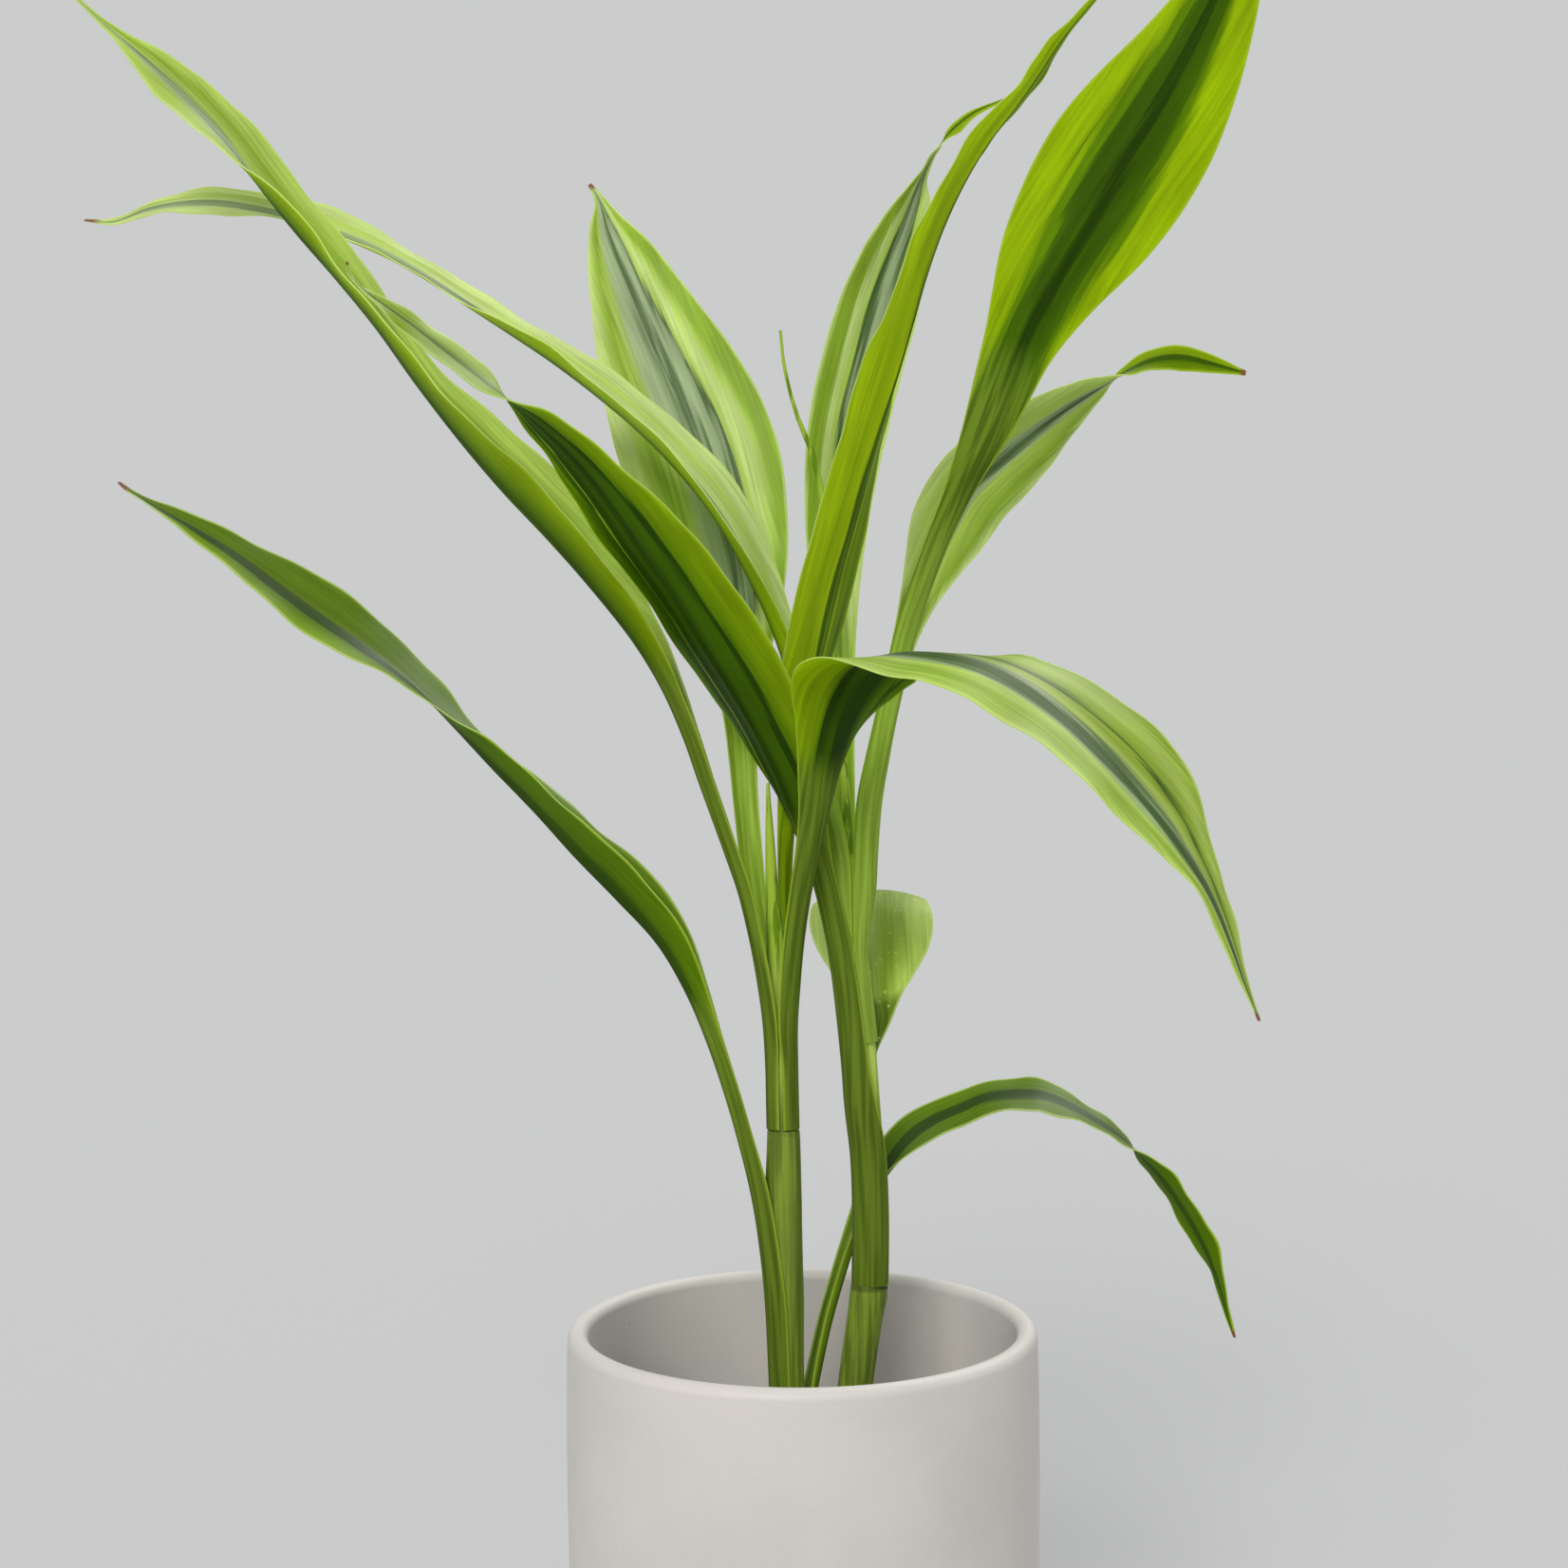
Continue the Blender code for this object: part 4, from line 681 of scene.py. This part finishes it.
def leaf_rows(clasp, wave, stations, rows, cells):
    """Points of the leaf's middle surface, one row across the leaf for each step along it."""
    wave_height, wave_count, wave_phase = wave
    seat = seat_stations(*clasp)
    knots = seat + free_stations(stations, seat[-1][0])
    centres, uppers, widths, folds, curls = zip(*knots)
    grid = []
    for row in range(rows):
        share = row / (rows - 1)
        position = (len(knots) - 1) * share
        centre = between(centres, position)
        travel = travel_at(centres, position)
        upper = eased(uppers, position)
        upper = (upper - travel * upper.dot(travel)).normalized()
        side = travel.cross(upper)
        steps = half_blade(eased(widths, position), eased(folds, position), eased(curls, position), cells)
        rise = min(max((share - WAVE_FROM) / WAVE_RISE, 0.0), 1.0) * min((1.0 - share) / WAVE_FALL, 1.0)
        turn = 2 * pi * wave_count * share
        points = []
        for sign in (-1, 1):
            swing = sin(turn + wave_phase + sign) + RIPPLE_HEIGHT * sin(turn * RIPPLE_COUNT + 2.0 * sign)
            half = []
            for cell, (across, up) in enumerate(steps):
                up += wave_height * rise * swing * (cell / cells) ** 2
                half.append(centre + side * (sign * across) + upper * up)
            points += half[:0:-1] if sign < 0 else half
        grid.append(points)
    return grid


def lengths_of(points):
    """How far along a line of points each of them is."""
    lengths = [0.0]
    for first, second in zip(points, points[1:]):
        lengths.append(lengths[-1] + (second - first).length)
    return lengths


def leaf_mesh(name, grid, thickness):
    """A closed thin blade, its upper side in slot 0 and underside in slot 1, with maps for bands, lines and rim."""
    rows, columns = len(grid), len(grid[0])
    middle = columns // 2
    lengths = lengths_of([row[middle] for row in grid])
    across = []
    for row in grid:
        places = lengths_of(row)
        across.append([spot - places[middle] for spot in places])
    widths = [(places[-1] - places[0]) / 2 for places in across]
    low_end = rows // 3
    narrowest = min(range(low_end), key=lambda row: widths[row])
    widest = max(range(low_end, rows), key=lambda row: widths[row])
    points = []
    for share in (BLADE_ABOVE, BLADE_ABOVE - 1.0):
        for row in range(rows):
            for column in range(columns):
                right = grid[row][min(column + 1, columns - 1)] - grid[row][max(column - 1, 0)]
                along = grid[min(row + 1, rows - 1)][column] - grid[max(row - 1, 0)][column]
                normal = right.cross(along).normalized()
                edge = abs(column - middle) / middle
                deep = thickness * (1.0 - EDGE_THINNING * edge * edge)
                deep *= min(THINNEST + widths[row] / FULL_WIDTH, 1.0)
                points.append((grid[row][column] + normal * (share * deep)) * MM)
    under = rows * columns
    faces = []
    for row in range(rows - 1):
        for column in range(columns - 1):
            corner = row * columns + column
            ring = (corner, corner + 1, corner + columns + 1, corner + columns)
            faces += [ring, tuple(under + index for index in reversed(ring))]
    outline = [*range(columns), *range(2 * columns - 1, under, columns)]
    outline += [*range(under - 2, under - columns - 1, -1), *range(under - 2 * columns, 0, -columns)]
    sheet = len(faces)
    for first, second in zip(outline, outline[1:] + outline[:1]):
        faces.append((first, under + first, under + second, second))
    mesh = bpy.data.meshes.new(name)
    mesh.from_pydata(points, [], faces)
    slots = [index % 2 for index in range(sheet)] + [0] * len(outline)
    mesh.polygons.foreach_set("material_index", slots)
    blade, lines, rim = (mesh.uv_layers.new(name=layer) for layer in ("blade", "lines", "rim"))
    for loop in mesh.loops:
        row, column = divmod(loop.vertex_index % under, columns)
        blade.data[loop.index].uv = (column / (columns - 1), lengths[row] / lengths[-1])
        lines.data[loop.index].uv = (across[row][column] / 10, lengths[row] / 10)
        stalkwards = min(max((STALK_FROM - widths[row] / widths[widest]) / STALK_FADE, 0.0), 1.0)
        if not narrowest <= row <= widest:
            stalkwards = float(row < narrowest)
        rim.data[loop.index].uv = ((widths[row] - abs(across[row][column])) / 10, stalkwards)
    mesh.shade_smooth()
    mesh.set_sharp_from_angle(angle=radians(50))
    return mesh


def ring_mesh(name, rings):
    """Rings of points in metres joined to a closed form, with a cap on an end ring of more than one point."""
    shape = bmesh.new()
    rings = [[shape.verts.new(point) for point in ring] for ring in rings]
    for low, high in zip(rings, rings[1:]):
        sides = max(len(low), len(high))
        for side in range(sides):
            following = (side + 1) % sides
            corners = [ring[index % len(ring)] for ring, index in ((low, side), (high, side), (high, following))]
            corners.append(low[following % len(low)])
            shape.faces.new(list(dict.fromkeys(corners)))
    for end in (rings[0][::-1], rings[-1]):
        if len(end) > 1:
            shape.faces.new(end)
    bmesh.ops.recalc_face_normals(shape, faces=shape.faces)
    mesh = bpy.data.meshes.new(name)
    shape.to_mesh(mesh)
    shape.free()
    mesh.shade_smooth()
    return mesh


def turned_mesh(name, profile, sides):
    """A profile of (radius, height) in metres turned about the upright axis."""
    turns = [2 * pi * side / sides for side in range(sides)]
    rings = []
    for radius, height in profile:
        ring = [(radius * cos(turn), radius * sin(turn), height) for turn in turns]
        rings.append(ring if radius else [(0.0, 0.0, height)])
    return ring_mesh(name, rings)


def arc(centre, radius, start, end, steps):
    """Points (radius, height) on an arc, with its ends."""
    angles = [radians(start + (end - start) * step / steps) for step in range(steps + 1)]
    return [(centre[0] + radius * cos(angle), centre[1] + radius * sin(angle)) for angle in angles]


def pot_profile(pot):
    """Inside floor, up the inner wall, over the round lip, down the outer wall to the base."""
    inner = pot.radius - pot.wall
    lip = pot.wall / 2
    profile = [(0.0, pot.floor)]
    profile += arc((inner - ROUND_INSIDE, pot.floor + ROUND_INSIDE), ROUND_INSIDE, -90, 0, 8)
    profile += arc((pot.radius - lip, pot.height - lip), lip, 180, 0, 20)
    wall_top = pot.height - lip
    wall_steps = 24
    for step in range(1, wall_steps):
        height = wall_top + (ROUND_BASE - wall_top) * step / wall_steps
        depth = (pot.height - height) / SWELL_BELOW
        profile.append((pot.radius + pot.swell * max(0.0, 1.0 - (depth - 1.0) ** 2), height))
    profile += arc((pot.radius - ROUND_BASE, ROUND_BASE), ROUND_BASE, 0, -90, 8)
    profile.append((0.0, 0.0))
    return profile


def soil_profile(pot, wall, top):
    """The soil's top from the middle out, then down beside the pot's inner wall to its floor."""
    rings = 40
    floor = pot.floor + SOIL_GAP
    profile = [(wall * ring / rings, top) for ring in range(rings)]
    profile += [(wall, top - SOIL_EDGE), (wall, top - 0.02)]
    profile += arc((wall - ROUND_INSIDE, floor + ROUND_INSIDE), ROUND_INSIDE, 0, -90, 4)
    return profile + [(0.0, floor)]


class PLANT_OT_pot(bpy.types.Operator):
    """Turns the ceramic pot"""

    bl_idname = "plant.make_pot"
    bl_label = "Make Pot"

    def execute(self, context):
        pot = context.scene.bamboo.pot
        mesh = turned_mesh("ceramic_pot", pot_profile(pot), pot.sides)
        mesh.set_sharp_from_angle(angle=radians(60))
        add_piece("ceramic_pot", mesh, "pot", "pot", ceramic_finish("matte_ceramic", pot))
        return {"FINISHED"}


class PLANT_OT_soil(bpy.types.Operator):
    """Fills the pot with crumbly soil"""

    bl_idname = "plant.fill_soil"
    bl_label = "Fill Soil"

    def execute(self, context):
        pot, soil = context.scene.bamboo.pot, context.scene.bamboo.soil
        wall = pot.radius - pot.wall - SOIL_GAP
        top = pot.height - soil.level
        mesh = turned_mesh("potting_soil", soil_profile(pot, wall, top), 96)
        for vertex in mesh.vertices:
            if vertex.co.z >= top - 0.0001:
                lump = LUMP_HEIGHT * noise.fractal(vertex.co * 90.0, 0.8, 2.1, 4)
                vertex.co.z += lump + LUMP_SWELL * noise.noise(vertex.co * 35.0)
        self.add_crumbs(mesh, soil, wall, top)
        mesh.shade_smooth()
        add_piece("potting_soil", mesh, "soil", "soil", soil_finish("potting_soil", soil.colour))
        return {"FINISHED"}

    def add_crumbs(self, mesh, soil, wall, top):
        """Strews loose crumbs between the pot's wall and the canes."""
        canes = [cane_at(table, top / MM - RIM) for table in CANES.values()]
        shape = bmesh.new()
        shape.from_mesh(mesh)
        random = Random(CRUMB_SEED)
        for _ in range(soil.crumbs):
            turn, reach = random.uniform(0, 2 * pi), wall * random.uniform(0, 0.97) ** 0.5
            spot = Vector((reach * cos(turn), reach * sin(turn), top))
            size = soil.crumb * random.uniform(*CRUMB_SIZES)
            clear = min(hypot(spot.x - c.x * MM, spot.y - c.y * MM) - r * MM for c, r in canes)
            if clear < size + SOIL_CLEAR or reach + size > wall:
                continue
            crumb = bmesh.ops.create_icosphere(shape, subdivisions=1, radius=size)["verts"]
            stretch = Vector([random.uniform(*CRUMB_STRETCH) for _ in range(3)])
            for vertex in crumb:
                knock = 1.0 + CRUMB_KNOCK * noise.noise(vertex.co * 900.0 + spot * 300.0)
                vertex.co = vertex.co * stretch * knock + spot
                vertex.co.z += size * CRUMB_LIFT
        shape.to_mesh(mesh)
        shape.free()


class PLANT_OT_canes(bpy.types.Operator):
    """Grows the two canes with their furled new leaves"""

    bl_idname = "plant.grow_canes"
    bl_label = "Grow Canes"

    def execute(self, context):
        for side, table in CANES.items():
            name = side + "_cane"
            mesh = ring_mesh(name, self.cane_rings(table))
            mesh.set_sharp_from_angle(angle=radians(55))
            ring_share, *heights = CANE_MARKS[side]
            finish = cane_finish(name, ring_share, *[(RIM + height) * MM for height in heights])
            add_piece(name, mesh, "cane", side + "_stem", finish)
        return {"FINISHED"}

    def cane_rings(self, table):
        """Faintly fluted rings of points, in metres, up a cane."""
        centres = [place(*row[:3]) for row in table]
        radii = [row[3] for row in table]
        rings = []
        for step in range((len(table) - 1) * CANE_STEPS + 1):
            position = step / CANE_STEPS
            centre, radius = between(centres, position), even_between(radii, position)
            travel = travel_at(centres, position)
            right = travel.cross(Vector((0.0, 1.0, 0.0))).normalized()
            away = right.cross(travel)
            ring = []
            for turn in range(CANE_SIDES):
                angle = 2 * pi * turn / CANE_SIDES
                reach = radius * (1.0 + FLUTE_DEPTH * sin(FLUTES * angle + FLUTE_TWIST * position))
                ring.append((centre + right * (reach * cos(angle)) + away * (reach * sin(angle))) * MM)
            rings.append(ring)
        return rings


class PLANT_OT_leaves(bpy.types.Operator):
    """Grows the twelve open leaves"""

    bl_idname = "plant.grow_leaves"
    bl_label = "Grow Leaves"

    def execute(self, context):
        plant = context.scene.bamboo.plant
        for name, (clasp, wave, stations, upper, under, stalk, tip, lean) in LEAVES.items():
            grid = leaf_rows(clasp, wave, stations, plant.rows, plant.cells)
            dried = tip / lengths_of([row[plant.cells] for row in grid])[-1]
            mesh = leaf_mesh(name + "_blade", grid, plant.blade / MM)
            sides = ("_upper", upper), ("_under", under)
            finishes = [leaf_finish(name + side, bands, stalk, dried, lean) for side, bands in sides]
            add_piece(name + "_blade", mesh, "leaf", name, *finishes)
        return {"FINISHED"}


class PLANT_OT_stage(bpy.types.Operator):
    """Sets the pale floor, the soft lights and the camera"""

    bl_idname = "plant.set_stage"
    bl_label = "Set Stage"

    def execute(self, context):
        scene = context.scene
        stage = scene.bamboo.stage
        mesh = bpy.data.meshes.new("floor")
        corners = [(FLOOR_REACH * x, FLOOR_REACH * y, 0) for x, y in ((-1, -1), (1, -1), (1, 1), (-1, 1))]
        mesh.from_pydata(corners, [], [(0, 1, 2, 3)])
        inputs = {"Base Color": rgba(stage.floor), "Roughness": 1.0, "Specular IOR Level": 0.0}
        mesh.materials.append(Look("pale_floor", inputs).material)
        add_object("floor", mesh)

        world = bpy.data.worlds.new("surround")
        world.use_nodes = True
        background = world.node_tree.nodes["Background"]
        background.inputs["Color"].default_value = rgba(stage.surround)
        scene.world = world

        self.add_light("key_light", (-0.3, -1, 0.8), 30, stage.key_strength, (1, 0.98, 0.95))
        self.add_light("back_light", (0.5, 0.8, 0.9), 35, stage.back_strength, (1, 0.99, 0.95))

        camera = add_object("camera", bpy.data.cameras.new("camera"))
        camera.data.sensor_width = 36.0
        camera.data.lens = stage.focal
        camera.location = EYE * MM
        camera.rotation_euler = (radians(90), 0.0, 0.0)
        camera.rotation_euler.rotate_axis("Z", radians(-CAMERA_ROLL))
        scene.camera = camera
        scene.view_settings.view_transform = "Standard"
        return {"FINISHED"}

    def add_light(self, name, spot, spread, strength, colour):
        """A far, wide light that shines from this direction."""
        light = add_object(name, bpy.data.lights.new(name, "SUN"))
        light.data.angle = radians(spread)
        light.data.energy = strength
        light.data.color = colour
        light.rotation_euler = Vector(spot).to_track_quat("Z", "Y").to_euler()
        light.location = spot


class PLANT_PT_panel(bpy.types.Panel):
    """Lists the steps and settings of the potted lucky bamboo"""

    bl_idname = "PLANT_PT_panel"
    bl_label = "Lucky Bamboo"
    bl_space_type = "VIEW_3D"
    bl_region_type = "UI"
    bl_category = "Lucky Bamboo"

    def draw(self, context):
        bamboo = context.scene.bamboo
        for title, settings, *operators in (
            ("Pot", bamboo.pot, "plant.make_pot"),
            ("Soil", bamboo.soil, "plant.fill_soil"),
            ("Canes and leaves", bamboo.plant, "plant.grow_canes", "plant.grow_leaves"),
            ("Stage", bamboo.stage, "plant.set_stage"),
        ):
            box = self.layout.box()
            box.label(text=title)
            for name in settings.__annotations__:
                box.prop(settings, name)
            for operator in operators:
                box.operator(operator)


CLASSES = (
    PotSettings, SoilSettings, PlantSettings, StageSettings, BambooSettings,
    PLANT_OT_pot, PLANT_OT_soil, PLANT_OT_canes, PLANT_OT_leaves, PLANT_OT_stage, PLANT_PT_panel,
)


def register():
    for cls in CLASSES:
        bpy.utils.register_class(cls)
    bpy.types.Scene.bamboo = PointerProperty(type=BambooSettings)


def unregister():
    del bpy.types.Scene.bamboo
    for cls in reversed(CLASSES):
        bpy.utils.unregister_class(cls)


def main():
    register()
    bpy.ops.plant.make_pot()
    bpy.ops.plant.fill_soil()
    bpy.ops.plant.grow_canes()
    bpy.ops.plant.grow_leaves()
    bpy.ops.plant.set_stage()


if __name__ == "__main__":
    main()
